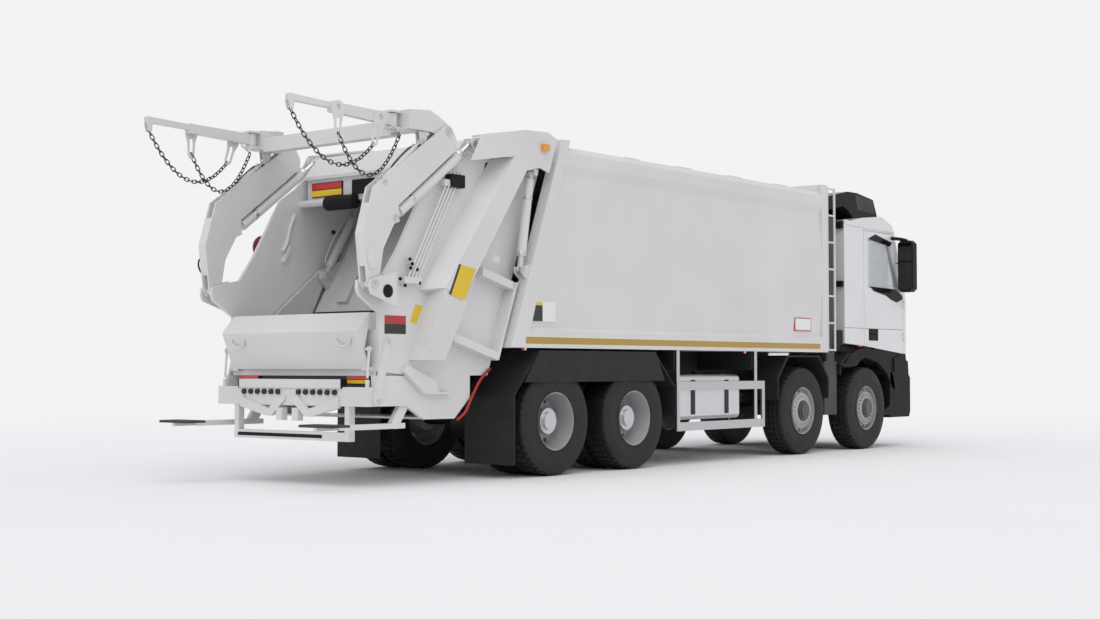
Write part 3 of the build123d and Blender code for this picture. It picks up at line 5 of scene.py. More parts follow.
import bpy
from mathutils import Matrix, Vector


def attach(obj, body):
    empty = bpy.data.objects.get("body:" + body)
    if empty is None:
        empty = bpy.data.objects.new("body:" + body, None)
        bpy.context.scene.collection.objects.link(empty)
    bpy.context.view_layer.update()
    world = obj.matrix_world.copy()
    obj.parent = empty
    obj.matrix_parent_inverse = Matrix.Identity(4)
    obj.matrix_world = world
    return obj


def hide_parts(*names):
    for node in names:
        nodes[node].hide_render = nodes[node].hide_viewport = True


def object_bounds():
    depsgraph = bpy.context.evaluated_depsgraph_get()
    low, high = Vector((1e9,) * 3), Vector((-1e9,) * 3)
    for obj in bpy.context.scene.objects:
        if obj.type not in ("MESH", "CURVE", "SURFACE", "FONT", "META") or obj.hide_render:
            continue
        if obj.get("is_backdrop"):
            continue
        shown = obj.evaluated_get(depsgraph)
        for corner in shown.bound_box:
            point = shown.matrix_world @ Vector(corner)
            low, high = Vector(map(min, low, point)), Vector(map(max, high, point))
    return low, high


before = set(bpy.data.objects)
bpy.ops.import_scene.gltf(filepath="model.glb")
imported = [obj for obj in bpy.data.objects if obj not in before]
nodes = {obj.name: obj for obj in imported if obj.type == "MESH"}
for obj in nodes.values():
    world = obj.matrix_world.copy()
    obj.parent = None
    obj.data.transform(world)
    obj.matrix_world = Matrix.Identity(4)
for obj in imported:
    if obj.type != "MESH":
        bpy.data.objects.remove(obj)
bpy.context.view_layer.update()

axle_from_middle = -2.340
mm = 0.001


def at(x, y, z):
    """A point in metres from millimetres across, from the rearmost axle, and from the ground."""
    return Vector((x * mm, y * mm + axle_from_middle, z * mm))


# Handling


def alone(*pieces):
    """Selects only these pieces, the first of them active."""
    bpy.ops.object.select_all(action="DESELECT")
    for piece in pieces:
        piece.select_set(True)
    bpy.context.view_layer.objects.active = pieces[0]


def set_down(piece):
    """Puts a piece's place, turn and size into its mesh."""
    alone(piece)
    bpy.ops.object.transform_apply(location=True, rotation=True, scale=True)
    return piece


def soften(piece, width, segments=2, angle=40):
    """Rounds a piece's sharp edges."""
    edge = piece.modifiers.new("edge", "BEVEL")
    edge.width, edge.segments = width * mm, segments
    edge.limit_method, edge.angle_limit = "ANGLE", math.radians(angle)
    alone(piece)
    bpy.ops.object.modifier_apply(modifier=edge.name)
    return piece


def smooth(piece, angle=35):
    """Shades a piece smooth but for its sharp edges."""
    alone(piece)
    bpy.ops.object.shade_smooth_by_angle(angle=math.radians(angle))
    return piece


def joined(pieces):
    """Makes one piece of several."""
    alone(*pieces)
    if len(pieces) > 1:
        bpy.ops.object.join()
    return bpy.context.object


def fresh(piece):
    """A copy of a piece with a mesh of its own."""
    made = piece.copy()
    made.data = piece.data.copy()
    bpy.context.collection.objects.link(made)
    return made


def set_onto(piece, x, y, z):
    """A copy of a piece moved to a place from the world's middle."""
    made = fresh(piece)
    made.location = at(x, y, z)
    return set_down(made)


def mirrored(piece):
    """A copy of a piece mirrored across the truck."""
    made = fresh(piece)
    made.scale.x = -1
    return face_out(set_down(made))


def face_out(piece):
    """Turns all faces of a closed piece outwards."""
    alone(piece)
    bpy.ops.object.mode_set(mode="EDIT")
    bpy.ops.mesh.select_all(action="SELECT")
    bpy.ops.mesh.normals_make_consistent(inside=False)
    bpy.ops.object.mode_set(mode="OBJECT")
    return piece


def block(x, y, z, edge=3, segments=2):
    """A block between low and high places, its edges rounded."""
    low, high = at(x[0], y[0], z[0]), at(x[1], y[1], z[1])
    bpy.ops.mesh.primitive_cube_add(size=1, location=(low + high) / 2)
    piece = bpy.context.object
    piece.scale = high - low
    set_down(piece)
    return soften(piece, edge, segments) if edge else piece


def bar(start, end, radius, sides=20, edge=0):
    """A round bar between two points."""
    first, last = at(*start), at(*end)
    bpy.ops.mesh.primitive_cylinder_add(vertices=sides, radius=radius * mm, depth=(last - first).length,
                                        location=(first + last) / 2)
    piece = bpy.context.object
    piece.rotation_euler = (last - first).to_track_quat("Z", "Y").to_euler()
    set_down(piece)
    if edge:
        soften(piece, edge)
    return smooth(piece)


def plate(points, x_from, x_to, edge=2):
    """A flat piece with a side outline between two places across the truck."""
    bpy.ops.mesh.primitive_circle_add(vertices=len(points), radius=1, fill_type="NGON")
    piece = bpy.context.object
    for corner, (y, z) in zip(piece.data.vertices, points):
        corner.co = at(x_from, y, z)
    alone(piece)
    bpy.ops.object.mode_set(mode="EDIT")
    bpy.ops.mesh.select_all(action="SELECT")
    bpy.ops.mesh.extrude_region_move(TRANSFORM_OT_translate={"value": ((x_to - x_from) * mm, 0, 0)})
    bpy.ops.mesh.select_all(action="SELECT")
    bpy.ops.mesh.normals_make_consistent(inside=False)
    bpy.ops.object.mode_set(mode="OBJECT")
    return soften(piece, edge) if edge else piece


def pipe(points, radius):
    """A bent bar or pipe through some points, rounded at its bends."""
    line = bpy.data.curves.new("line", "CURVE")
    line.dimensions = "3D"
    line.bevel_depth, line.bevel_resolution = radius * mm, 2
    line.resolution_u = 8
    line.use_fill_caps = True
    run = line.splines.new("NURBS")
    run.points.add(len(points) - 1)
    for knot, point in zip(run.points, points):
        knot.co = (*at(*point), 1)
    run.order_u = 3
    run.use_endpoint_u = True
    piece = bpy.data.objects.new("pipe", line)
    bpy.context.collection.objects.link(piece)
    alone(piece)
    bpy.ops.object.convert(target="MESH")
    return smooth(bpy.context.object)


def ball(centre, radius):
    """A round knob."""
    bpy.ops.mesh.primitive_uv_sphere_add(segments=14, ring_count=8, radius=radius * mm, location=at(*centre))
    return smooth(set_down(bpy.context.object))


def give(piece, name, finish, body):
    """Names a piece, finishes it and lets it move with a body."""
    piece.name = name
    piece.data.name = name
    piece.data.materials.clear()
    piece.data.materials.append(finish)
    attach(piece, body)
    return piece


def pair(piece, name, finish, body):
    """A right piece and its mirrored twin, each moving with its own side's body."""
    left = mirrored(piece)
    give(piece, name + "_right", finish, body.format("right"))
    give(left, name + "_left", finish, body.format("left"))


def cut(piece, tool):
    """Cuts one piece out of another."""
    less = piece.modifiers.new("cut", "BOOLEAN")
    less.operation, less.object, less.solver = "DIFFERENCE", tool, "EXACT"
    alone(piece)
    bpy.ops.object.modifier_apply(modifier=less.name)
    bpy.data.objects.remove(tool)
    return piece


# Finishes


def nodes_of(name):
    """A new material with its shader, node maker and linker."""
    made = bpy.data.materials.new(name)
    made.use_nodes = True
    tree = made.node_tree
    return made, tree.nodes["Principled BSDF"], tree.nodes, tree.links


def pattern(add, link, scale, detail=4, stretch=(1, 1, 1), kind="ShaderNodeTexNoise"):
    """A noise or other texture on the piece's own coordinates."""
    place, turn, texture = add.new("ShaderNodeTexCoord"), add.new("ShaderNodeMapping"), add.new(kind)
    turn.inputs["Scale"].default_value = stretch
    texture.inputs["Scale"].default_value = scale
    if "Detail" in texture.inputs:
        texture.inputs["Detail"].default_value = detail
    link.new(place.outputs["Object"], turn.inputs["Vector"])
    link.new(turn.outputs["Vector"], texture.inputs["Vector"])
    return texture


def shaded(add, link, source, low, high, low_at=0.3, high_at=0.7):
    """Two colours blended by a texture."""
    ramp = add.new("ShaderNodeValToRGB")
    ramp.color_ramp.elements[0].position, ramp.color_ramp.elements[1].position = low_at, high_at
    ramp.color_ramp.elements[0].color, ramp.color_ramp.elements[1].color = (*low, 1), (*high, 1)
    link.new(source, ramp.inputs["Fac"])
    return ramp.outputs["Color"]


def bumped(add, link, shader, source, strength, distance):
    """Raises a surface by a texture."""
    bump = add.new("ShaderNodeBump")
    bump.inputs["Strength"].default_value, bump.inputs["Distance"].default_value = strength, distance
    link.new(source, bump.inputs["Height"])
    link.new(bump.outputs["Normal"], shader.inputs["Normal"])


def ranged(add, link, shader, source, low, high):
    """Lets roughness vary with a texture."""
    spread = add.new("ShaderNodeMapRange")
    spread.inputs["To Min"].default_value, spread.inputs["To Max"].default_value = low, high
    link.new(source, spread.inputs["Value"])
    link.new(spread.outputs["Result"], shader.inputs["Roughness"])


def tint(color, share):
    """A colour made darker or lighter by a share."""
    return tuple(min(1, part * share) for part in color)


def paint(name, color, rough=(0.28, 0.4), dust=0.93, coat=0.25, peel=0.05):
    """Sprayed paint: faint clouds of road dust, fine peel and a clear coat."""
    made, shader, add, link = nodes_of(name)
    cloud = pattern(add, link, scale=1.3, detail=6)
    link.new(shaded(add, link, cloud.outputs["Fac"], tint(color, dust), color), shader.inputs["Base Color"])
    ranged(add, link, shader, pattern(add, link, scale=5, detail=5).outputs["Fac"], *rough)
    bumped(add, link, shader, pattern(add, link, scale=220, detail=2).outputs["Fac"], peel, distance=0.001)
    shader.inputs["Coat Weight"].default_value = coat
    shader.inputs["Coat Roughness"].default_value = 0.12
    return made


def moulded(name, color, rough=(0.45, 0.65), grain=420, depth=0.25, shine=0.5):
    """Moulded plastic or rubber with a fine grain."""
    made, shader, add, link = nodes_of(name)
    shader.inputs["Specular IOR Level"].default_value = shine
    cloud = pattern(add, link, scale=4, detail=5)
    link.new(shaded(add, link, cloud.outputs["Fac"], tint(color, 0.75), tint(color, 1.25)),
             shader.inputs["Base Color"])
    ranged(add, link, shader, pattern(add, link, scale=9, detail=5).outputs["Fac"], *rough)
    bumped(add, link, shader, pattern(add, link, grain, detail=3).outputs["Fac"], depth, distance=0.0006)
    return made


def metal(name, color, rough=(0.2, 0.38), stretch=(1, 30, 30), scale=18, depth=0.08):
    """Brushed, drawn or machined metal, its lines along one way."""
    made, shader, add, link = nodes_of(name)
    lines = pattern(add, link, scale, detail=6, stretch=stretch)
    link.new(shaded(add, link, lines.outputs["Fac"], tint(color, 0.86), color), shader.inputs["Base Color"])
    ranged(add, link, shader, lines.outputs["Fac"], *rough)
    bumped(add, link, shader, lines.outputs["Fac"], depth, distance=0.0005)
    shader.inputs["Metallic"].default_value = 1
    return made


def glass(name, color, rough=(0.03, 0.08), passing=0.85):
    """Tinted glass with faint dust."""
    made, shader, add, link = nodes_of(name)
    dust = pattern(add, link, scale=7, detail=5)
    link.new(shaded(add, link, dust.outputs["Fac"], color, tint(color, 1.08)), shader.inputs["Base Color"])
    ranged(add, link, shader, dust.outputs["Fac"], *rough)
    shader.inputs["Transmission Weight"].default_value = passing
    shader.inputs["IOR"].default_value = 1.45
    return made


def lens(name, color):
    """A ribbed lamp lens."""
    made, shader, add, link = nodes_of(name)
    ribs = pattern(add, link, scale=90, detail=2, kind="ShaderNodeTexVoronoi")
    mixed = shaded(add, link, ribs.outputs["Distance"], tint(color, 0.8), color, 0.2, 0.8)
    link.new(mixed, shader.inputs["Base Color"])
    bumped(add, link, shader, ribs.outputs["Distance"], strength=0.35, distance=0.002)
    shader.inputs["Roughness"].default_value = 0.16
    shader.inputs["Coat Weight"].default_value = 0.6
    return made


def cloth(name, color):
    """Woven seat cloth."""
    made, shader, add, link = nodes_of(name)
    weave = pattern(add, link, scale=260, detail=0, kind="ShaderNodeTexVoronoi")
    mixed = shaded(add, link, weave.outputs["Distance"], tint(color, 0.6), tint(color, 1.3), 0.1, 0.6)
    link.new(mixed, shader.inputs["Base Color"])
    bumped(add, link, shader, weave.outputs["Distance"], strength=0.5, distance=0.001)
    shader.inputs["Roughness"].default_value = 0.85
    shader.inputs["Sheen Weight"].default_value = 0.3
    return made


def tread_sheet(name, color):
    """Pale painted tread plate: a raised lozenge pattern."""
    made, shader, add, link = nodes_of(name)
    lozenge = pattern(add, link, scale=38, detail=0, stretch=(1, 1.6, 1), kind="ShaderNodeTexVoronoi")
    mixed = shaded(add, link, lozenge.outputs["Distance"], tint(color, 1.04), tint(color, 0.9), 0.15, 0.5)
    link.new(mixed, shader.inputs["Base Color"])
    bumped(add, link, shader, lozenge.outputs["Distance"], strength=0.9, distance=0.002)
    shader.inputs["Roughness"].default_value = 0.42
    return made


body_white = paint("body_white", (0.72, 0.715, 0.72))
cab_white = paint("cab_white", (0.80, 0.80, 0.81), rough=(0.16, 0.26), coat=0.6, peel=0.02)
# Darker copy of the white paint for parts inside the hopper: painted shade, plus heavier road dust clouds
inside_white_painted_shade = paint("inside_white_painted_shade", (0.60, 0.60, 0.61), rough=(0.4, 0.6), dust=0.82, coat=0.05)
chassis_black = paint("chassis_black", (0.009, 0.009, 0.010), rough=(0.42, 0.62), dust=1.9, coat=0.05)
plastic_black = moulded("plastic_black", (0.008, 0.008, 0.009), shine=0.22)
gloss_black = moulded("gloss_black", (0.006, 0.006, 0.007), rough=(0.12, 0.22), depth=0.04, shine=0.15)
flap_rubber = moulded("flap_rubber", (0.012, 0.012, 0.013), rough=(0.6, 0.8), grain=160)
tyre_rubber = moulded("tyre_rubber", (0.012, 0.012, 0.0125), rough=(0.55, 0.75), grain=300)
wheel_silver = paint("wheel_silver", (0.50, 0.50, 0.51), rough=(0.3, 0.45), dust=0.75, coat=0.2)
hub_dark = paint("hub_dark", (0.05, 0.05, 0.055), rough=(0.4, 0.55), dust=1.6)
hub_bright = metal("hub_bright", (0.72, 0.72, 0.73), rough=(0.25, 0.45))
tank_metal = metal("tank_metal", (0.80, 0.80, 0.81), rough=(0.28, 0.45), stretch=(30, 1, 30))
rod_chrome = metal("rod_chrome", (0.86, 0.86, 0.87), rough=(0.06, 0.14), stretch=(1, 1, 1), scale=60)
mirror_dark = metal("mirror_dark", (0.10, 0.105, 0.11), rough=(0.05, 0.1), stretch=(1, 1, 1), scale=40)
guard_grey = metal("guard_grey", (0.66, 0.66, 0.67), rough=(0.3, 0.48), stretch=(1, 1, 24))
chain_steel = metal("chain_steel", (0.10, 0.10, 0.105), rough=(0.35, 0.55), stretch=(1, 1, 1), scale=80)
duct_grey = moulded("duct_grey", (0.035, 0.035, 0.037), rough=(0.35, 0.5))
stripe_gold = paint("stripe_gold", (0.46, 0.285, 0.045), rough=(0.3, 0.42), coat=0.3)
stripe_pale = paint("stripe_pale", (0.83, 0.81, 0.72), rough=(0.3, 0.42), coat=0.3)
window_glass = glass("window_glass", (0.84, 0.86, 0.87))
lamp_red = lens("lamp_red", (0.62, 0.03, 0.025))
lamp_amber = lens("lamp_amber", (0.85, 0.33, 0.02))
lamp_yellow = lens("lamp_yellow", (0.90, 0.62, 0.02))
lamp_clear = lens("lamp_clear", (0.80, 0.81, 0.83))
reel_red = paint("reel_red", (0.25, 0.03, 0.02), rough=(0.35, 0.5))
hose_red = moulded("hose_red", (0.42, 0.035, 0.02), rough=(0.4, 0.55))
seat_cloth = cloth("seat_cloth", (0.045, 0.047, 0.055))
tread_white = tread_sheet("tread_white", (0.72, 0.72, 0.725))
grating_dark = moulded("grating_dark", (0.05, 0.05, 0.05), rough=(0.6, 0.8), grain=90, depth=0.6)
plate_yellow = paint("plate_yellow", (0.80, 0.55, 0.02), rough=(0.3, 0.4))
plate_red = paint("plate_red", (0.50, 0.03, 0.03), rough=(0.3, 0.4))
plate_black = paint("plate_black", (0.02, 0.02, 0.02), rough=(0.3, 0.4))
plate_white = paint("plate_white", (0.85, 0.85, 0.85), rough=(0.25, 0.35))

# The first word or words of a CAD node's name give its finish; the rest of the truck is white
node_finishes = (
    ("driveline", chassis_black), ("frame", chassis_black), ("body_floor", inside_white_painted_shade),
    ("mudguards", flap_rubber), ("fuel_tank", tank_metal), ("chassis_boxes", duct_grey),
    ("side_guards", guard_grey), ("cab_shell", cab_white), ("windscreen", window_glass),
    ("bumper", plastic_black), ("roof_unit", gloss_black), ("cab_interior", seat_cloth),
    ("tail_lamps", plastic_black), ("packer_carriage", inside_white_painted_shade), ("packer_plate", inside_white_painted_shade),
    ("tyre", tyre_rubber), ("rim", wheel_silver), ("knuckle", hub_dark), ("door_glass", window_glass),
    ("door", cab_white), ("tailgate_rods", rod_chrome), ("lift_rods", rod_chrome), ("tilt_rods", rod_chrome),
)


def finish_of(name):
    """The finish of a CAD node by its name."""
    return next((finish for start, finish in node_finishes if name.startswith(start)), body_white)


for name, node in nodes.items():
    node.data.materials.clear()
    node.data.materials.append(finish_of(name))

# Tyres, made once by spinning a profile and copied to every wheel

hub_high = 552
# Half of a tyre's cross-section, as places across and radii
tyre_profile = ((-157, 296), (-148, 310), (-150, 330), (-156, 400), (-157.5, 440), (-154, 475), (-148, 505),
                (-143, 532), (-128, 545), (-96, 549), (-94, 536), (-84, 536), (-82, 550), (-34, 552),
                (-32, 538), (-22, 538), (-20, 552))
around = 132
tread_half, shoulder_radius, rib_radius, groove_depth = 90, 536.5, 545, 9


def wheel_tyre():
    """One tyre about the truck's X axis, its shoulder blocks and ribs parted by cross grooves."""
    outline = list(tyre_profile) + [(-x, r) for x, r in reversed(tyre_profile)]
    bpy.ops.mesh.primitive_circle_add(vertices=len(outline), radius=1)
    piece = bpy.context.object
    for corner, (x, r) in zip(piece.data.vertices, outline):
        corner.co = (x * mm, 0, r * mm)
    alone(piece)
    bpy.ops.object.mode_set(mode="EDIT")
    bpy.ops.mesh.select_all(action="SELECT")
    bpy.ops.mesh.spin(steps=around, angle=2 * math.pi, center=(0, 0, 0), axis=(1, 0, 0))
    bpy.ops.mesh.select_all(action="SELECT")
    bpy.ops.mesh.remove_doubles(threshold=0.0005)
    bpy.ops.mesh.normals_make_consistent(inside=False)
    bpy.ops.mesh.select_all(action="DESELECT")
    bpy.ops.object.mode_set(mode="OBJECT")
    pitch = 2 * math.pi / around
    for face in piece.data.polygons:
        x, y, z = face.center
        turn = round((math.atan2(z, y) % (2 * math.pi)) / pitch - 0.5)
        far, off = math.hypot(y, z) / mm, abs(x) / mm
        shoulder = far > shoulder_radius and off > tread_half and turn % 3 == 0
        rib = far > rib_radius and off < tread_half and (turn + 1) % 3 == 0
        face.select = shoulder or rib
    bpy.ops.object.mode_set(mode="EDIT")
    bpy.ops.mesh.select_mode(type="FACE")
    bpy.ops.mesh.extrude_region_shrink_fatten(TRANSFORM_OT_shrink_fatten={"value": -groove_depth * mm})
    bpy.ops.object.mode_set(mode="OBJECT")
    return smooth(piece, 28)


axles = {"first": 6730, "second": 5030, "third": 1350, "fourth": 0}
tyre_places = {"first": (1032.5,), "second": (1032.5,), "third": (1072.5, 722.5), "fourth": (1072.5, 722.5)}
pattern_tyre = wheel_tyre()
for axle, along in axles.items():
    for hand, side in (("left", -1), ("right", 1)):
        made = joined([set_onto(pattern_tyre, side * x, along, hub_high) for x in tyre_places[axle]])
        give(made, f"tread_{axle}_{hand}", tyre_rubber, f"wheel_{axle}_{hand}")
        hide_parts(f"tyre_{axle}_{hand}")
bpy.data.objects.remove(pattern_tyre)


def part_finish(name, finish, picks):
    """Gives the faces of a CAD node that a test picks a finish of their own."""
    node = nodes[name]
    node.data.materials.append(finish)
    for face in node.data.polygons:
        x, y, z = node.matrix_world @ face.center
        if picks(x / mm, (y - axle_from_middle) / mm, z / mm):
            face.material_index = len(node.data.materials) - 1


# Wheel nuts, their plates and the hubs


def ring_of(pattern_piece, count, along, across, radius):
    """Copies of a small piece set round a wheel's centre."""
    turns = [2 * math.pi * step / count for step in range(count)]
    return [set_onto(pattern_piece, across, along + radius * math.cos(a), hub_high + radius * math.sin(a))
            for a in turns]


def hex_nut(size, long):
    """A nut with its stud's end, its axis across the truck."""
    pieces = []
    for sides, radius, depth in ((6, size, long), (8, 0.5 * size, 1.5 * long)):
        bpy.ops.mesh.primitive_cylinder_add(vertices=sides, radius=radius * mm, depth=depth * mm,
                                            rotation=(0, math.pi / 2, 0))
        pieces.append(set_down(bpy.context.object))
    return joined(pieces)


# Front and rear wheels: the nut plate's inner and outer face, its radius, the nuts' radius and their number
front_plate = ((1140, 1170), 222, 188, 20)
rear_plate = ((950, 980), 216, 177, 10)
nut_out = 10
# Steps of a front hub: from and to across the truck, radius and rounding
front_hub = ((1165, 1205, 125, 8), (1200, 1218, 96, 6))
rim_hub_out, rim_hub_radius = 985, 134

nut = hex_nut(15, 22)
for axle, along in axles.items():
    front = axle in ("first", "second")
    (plate_in, plate_out), plate_radius, nut_radius, nut_count = front_plate if front else rear_plate
    for hand, side in (("left", -1), ("right", 1)):
        disc = bar((side * plate_in, along, hub_high), (side * plate_out, along, hub_high), plate_radius, 40, 3)
        made = joined([disc] + ring_of(nut, nut_count, along, side * (plate_out + nut_out), nut_radius))
        give(made, f"nuts_{axle}_{hand}", wheel_silver if front else hub_bright, f"wheel_{axle}_{hand}")
        if front:
            hub = joined([bar((side * low, along, hub_high), (side * high, along, hub_high), radius, 32, edge)
                          for low, high, radius, edge in front_hub])
            give(hub, f"hub_{axle}_{hand}", hub_dark, f"wheel_{axle}_{hand}")
        part_finish(f"rim_{axle}_{hand}", hub_dark if front else hub_bright, lambda x, y, z:
                    abs(x) > rim_hub_out and math.hypot(y - along, z - hub_high) < rim_hub_radius)
bpy.data.objects.remove(nut)

# Chains of real links on the chain arms


def hung_line(first, low, last, count=160):
    """Places along a hanging line in side view, through its ends and lowest place."""
    (ya, za), (yb, zb), (yc, zc) = first, low, last
    line = []
    for step in range(count + 1):
        y = ya + (yc - ya) * step / count
        z = (za * (y - yb) * (y - yc) / ((ya - yb) * (ya - yc))
             + zb * (y - ya) * (y - yc) / ((yb - ya) * (yb - yc))
             + zc * (y - ya) * (y - yb) / ((yc - ya) * (yc - yb)))
        line.append((y, z))
    return line


link_pitch, link_wire, link_half = 47, 5.5, 17
link_twist = 0.3


def one_link():
    """One chain link, long along Y."""
    bpy.ops.mesh.primitive_torus_add(major_segments=12, minor_segments=5, major_radius=link_half * mm,
                                     minor_radius=link_wire * mm)
    link = bpy.context.object
    for corner in link.data.vertices:
        corner.co.y += math.copysign((link_pitch / 2 - link_half + link_wire) * mm, corner.co.y)
    return smooth(link)


def chain(line, x_from, x_to):
    """A chain of links along a hung line, every other link turned on its side."""
    link, links, run, want, count = one_link(), [], 0, link_pitch / 2, 0
    for start, end in zip(line, line[1:]):
        step = math.dist(start, end)
        while run + step >= want:
            share = (want - run) / step
            y, z = start[0] + share * (end[0] - start[0]), start[1] + share * (end[1] - start[1])
            across = x_from + (x_to - x_from) * (y - line[0][0]) / (line[-1][0] - line[0][0])
            made = fresh(link)
            made.rotation_mode = "YXZ"
            made.rotation_euler = (math.atan2(end[1] - start[1], end[0] - start[0]),
                                   link_twist + math.pi / 2 * (count % 2), 0)
            made.location = at(across, y, z)
            set_down(made)
            links.append(made)
            want, count = want + link_pitch, count + 1
        run += step
    bpy.data.objects.remove(link)
    return links


# Each chain's first end, lowest place and last end in side view, and how far out its ends lie
chain_runs = (((-3365, 3330), (-2880, 2905), (-2390, 3140), 995, 1034),
              ((-2842, 3178), (-2440, 2840), (-2092, 3250), 1034, 1060))
# A hook plate's outline as shares of its width and length, its holes, and its slot between the lower two
hook_shares = ((0.5, 0), (0.8, 0.04), (1, 0.18), (0.95, 0.35), (0.8, 0.55), (0.76, 0.9), (0.62, 1), (0.38, 1),
               (0.24, 0.9), (0.2, 0.55), (0.05, 0.35), (0, 0.18), (0.2, 0.04))
hook_holes = ((0.18, 27), (0.5, 20), (0.86, 20))
hook_slot = ((0.37, 0.5), (0.63, 0.5), (0.63, 0.86), (0.37, 0.86))
hook_width, hook_long = 150, 350
hook_face, hook_thick = 1027, 14
cut_from, cut_to = hook_face - 9, hook_face + 30


def hook_plate(top, lean):
    """A hanging plate with an eye and a long slot that holds a chain."""
    turn = math.radians(lean)

    def set_at(a, b):
        y, z = (a - 0.5) * hook_width, -b * hook_long
        return (top[0] + y * math.cos(turn) - z * math.sin(turn),
                top[1] + y * math.sin(turn) + z * math.cos(turn))

    made = plate([set_at(a, b) for a, b in hook_shares], hook_face, hook_face + hook_thick, 0)
    for share, radius in hook_holes:
        cut(made, bar((cut_from, *set_at(0.5, share)), (cut_to, *set_at(0.5, share)), radius, 16))
    return soften(cut(made, plate([set_at(a, b) for a, b in hook_slot], cut_from, cut_to, 0)), 2, 1)


arm_root = ((-2090, 3436), (-2090, 3325), (-2910, 3358), (-2910, 3452))
arm_tip = ((-2870, 3388), (-2870, 3442), (-3390, 3462), (-3390, 3398))
tip_cheek = ((-3400, 3455), (-3400, 3375), (-3380, 3318), (-3350, 3318), (-3340, 3375), (-3340, 3455))
# Side outline, across from and to, and rounding of the flat pieces of a chain arm
arm_plates = ((arm_root, 963, 1027, 5), (arm_tip, 971, 1019, 5), (tip_cheek, 1012, 1022, 2),
              (tip_cheek, 968, 978, 2))
arm_bars = (((966, -3365, 3345), (1024, -3365, 3345), 12, 20), ((966, -2890, 3405), (1040, -2890, 3405), 20, 20),
            ((995, -2130, 3320), (995, -2130, 3441), 45, 24))
first_hook, second_hook = ((-2842, 3470), 0), ((-2296, 3440), -18)
chain_eye = ((1027, -2225, 3335), (1070, -2205, 3330), (1070, -2100, 3275), (1060, -2080, 3255))


for hand, side in (("left", -1), ("right", 1)):
    links = []
    for first, low, last, x_from, x_to in chain_runs:
        links += chain(hung_line(first, low, last), side * x_from, side * x_to)
    give(joined(links), f"chains_{hand}", chain_steel, f"chain_arm_{hand}")
    arm = joined([plate(*row) for row in arm_plates] + [bar(*row) for row in arm_bars]
                 + [pipe(chain_eye, 7), hook_plate(*first_hook), hook_plate(*second_hook)])
    if side < 0:
        right_arm, arm = arm, mirrored(arm)
        bpy.data.objects.remove(right_arm)
    give(arm, f"chain_beam_{hand}", body_white, f"chain_arm_{hand}")
    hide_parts(f"chain_arm_{hand}")

# Faces of CAD nodes with a finish of their own

picked_faces = (
    # mirrors
    ("door_left", plastic_black, lambda x, y, z: x < -1195),
    ("door_right", plastic_black, lambda x, y, z: x > 1195),
    # beacons
    ("tail_lamps", lamp_amber, lambda x, y, z: abs(x) > 1200),
    # straps
    ("fuel_tank", chassis_black, lambda x, y, z: x > 1181 or z > 1016 or z < 499),
    # dashboard and steering wheel
    ("cab_interior", plastic_black, lambda x, y, z: y > 7110),
    # tread on the lower outer face
    ("guide_beams", tread_white, lambda x, y, z: 1240 < abs(x) < 1247 and z < 1840),
    # teeth of the comb
    ("hopper_floor", chassis_black, lambda x, y, z: y < -2484 and 842 < z < 894 and abs(x) < 700),
    # hose reel on the left
    ("tail_walls", reel_red, lambda x, y, z: x < -1060 and -1845 < y < -1655 and z > 2180),
    # brackets behind the rails
    ("side_guards", chassis_black, lambda x, y, z: abs(x) < 1224),
    # step plates
    ("foot_steps", grating_dark, lambda x, y, z: z > 569),
)
for name, finish, picks in picked_faces:
    part_finish(name, finish, picks)

# Body trim: stripe, marker lamps, bolts, blank plates, and black plates of painted shade in the tail wall's
# openings

stripe_along = (-505, 5363)
for name, high, out, finish in (("stripe_edge", (1325, 1410), 1251.5, stripe_pale),
                                ("stripe", (1333, 1402), 1252.5, stripe_gold)):
    pair(block((1249, out), stripe_along, high, 0), name, finish, "chassis")
marker_out, marker_high, marker_long = (1226, 1249), (1268, 1292), 26
for name, y in (("marker_rear", -521), ("marker_front", 3553)):
    pair(block(marker_out, (y - marker_long, y), marker_high), name + "_red", lamp_red, "chassis")
    pair(block(marker_out, (y, y + marker_long), marker_high), name + "_clear", lamp_clear, "chassis")
guard_bolts = [bar((1252, y, 1250), (1258, y, 1250), 9, 10) for y in range(-175, 1431, 200)]
pair(joined(guard_bolts), "guard_bolts", chassis_black, "chassis")
# Name, outline in side view, across from and to, finish
tail_plates = (
    ("plate_a", ((-1488, 2071), (-1248, 2036), (-1403, 1734), (-1625, 1783)), (1250, 1251.5), plate_yellow),
    ("plate_a_band", ((-1488, 2071), (-1460, 2067), (-1597, 1777), (-1625, 1783)), (1251, 1252.2), plate_black),
    ("plate_b", ((-2260, 1495), (-1985, 1495), (-1985, 1573), (-2260, 1573)), (1040, 1042), plate_red),
    ("plate_b_low", ((-2260, 1405), (-1985, 1405), (-1985, 1495), (-2260, 1495)), (1040, 1042), plate_black),
    ("plate_c", ((-1861, 1683), (-1760, 1671), (-1847, 1502), (-1934, 1519)), (1040, 1042), plate_yellow),
    ("plate_d", ((-764, 2130), (-666, 2130), (-666, 2205), (-764, 2205)), (1040, 1042), plate_white),
)
body_plates = (
    ("plate_e", ((-443, 1558), (-28, 1558), (-28, 1755), (-443, 1755)), (1205, 1239), plate_white),
    ("plate_e_dark", ((-443, 1560), (-235, 1560), (-235, 1720), (-443, 1720)), (1205, 1240), plate_black),
    ("plate_e_band", ((-443, 1722), (-235, 1722), (-235, 1753), (-443, 1753)), (1205, 1240), plate_yellow),
    ("plate_f", ((4750, 1558), (5152, 1558), (5152, 1725), (4750, 1725)), (1205, 1238), plate_red),
    ("plate_f_field", ((4762, 1570), (5140, 1570), (5140, 1713), (4762, 1713)), (1205, 1239), plate_white),
)
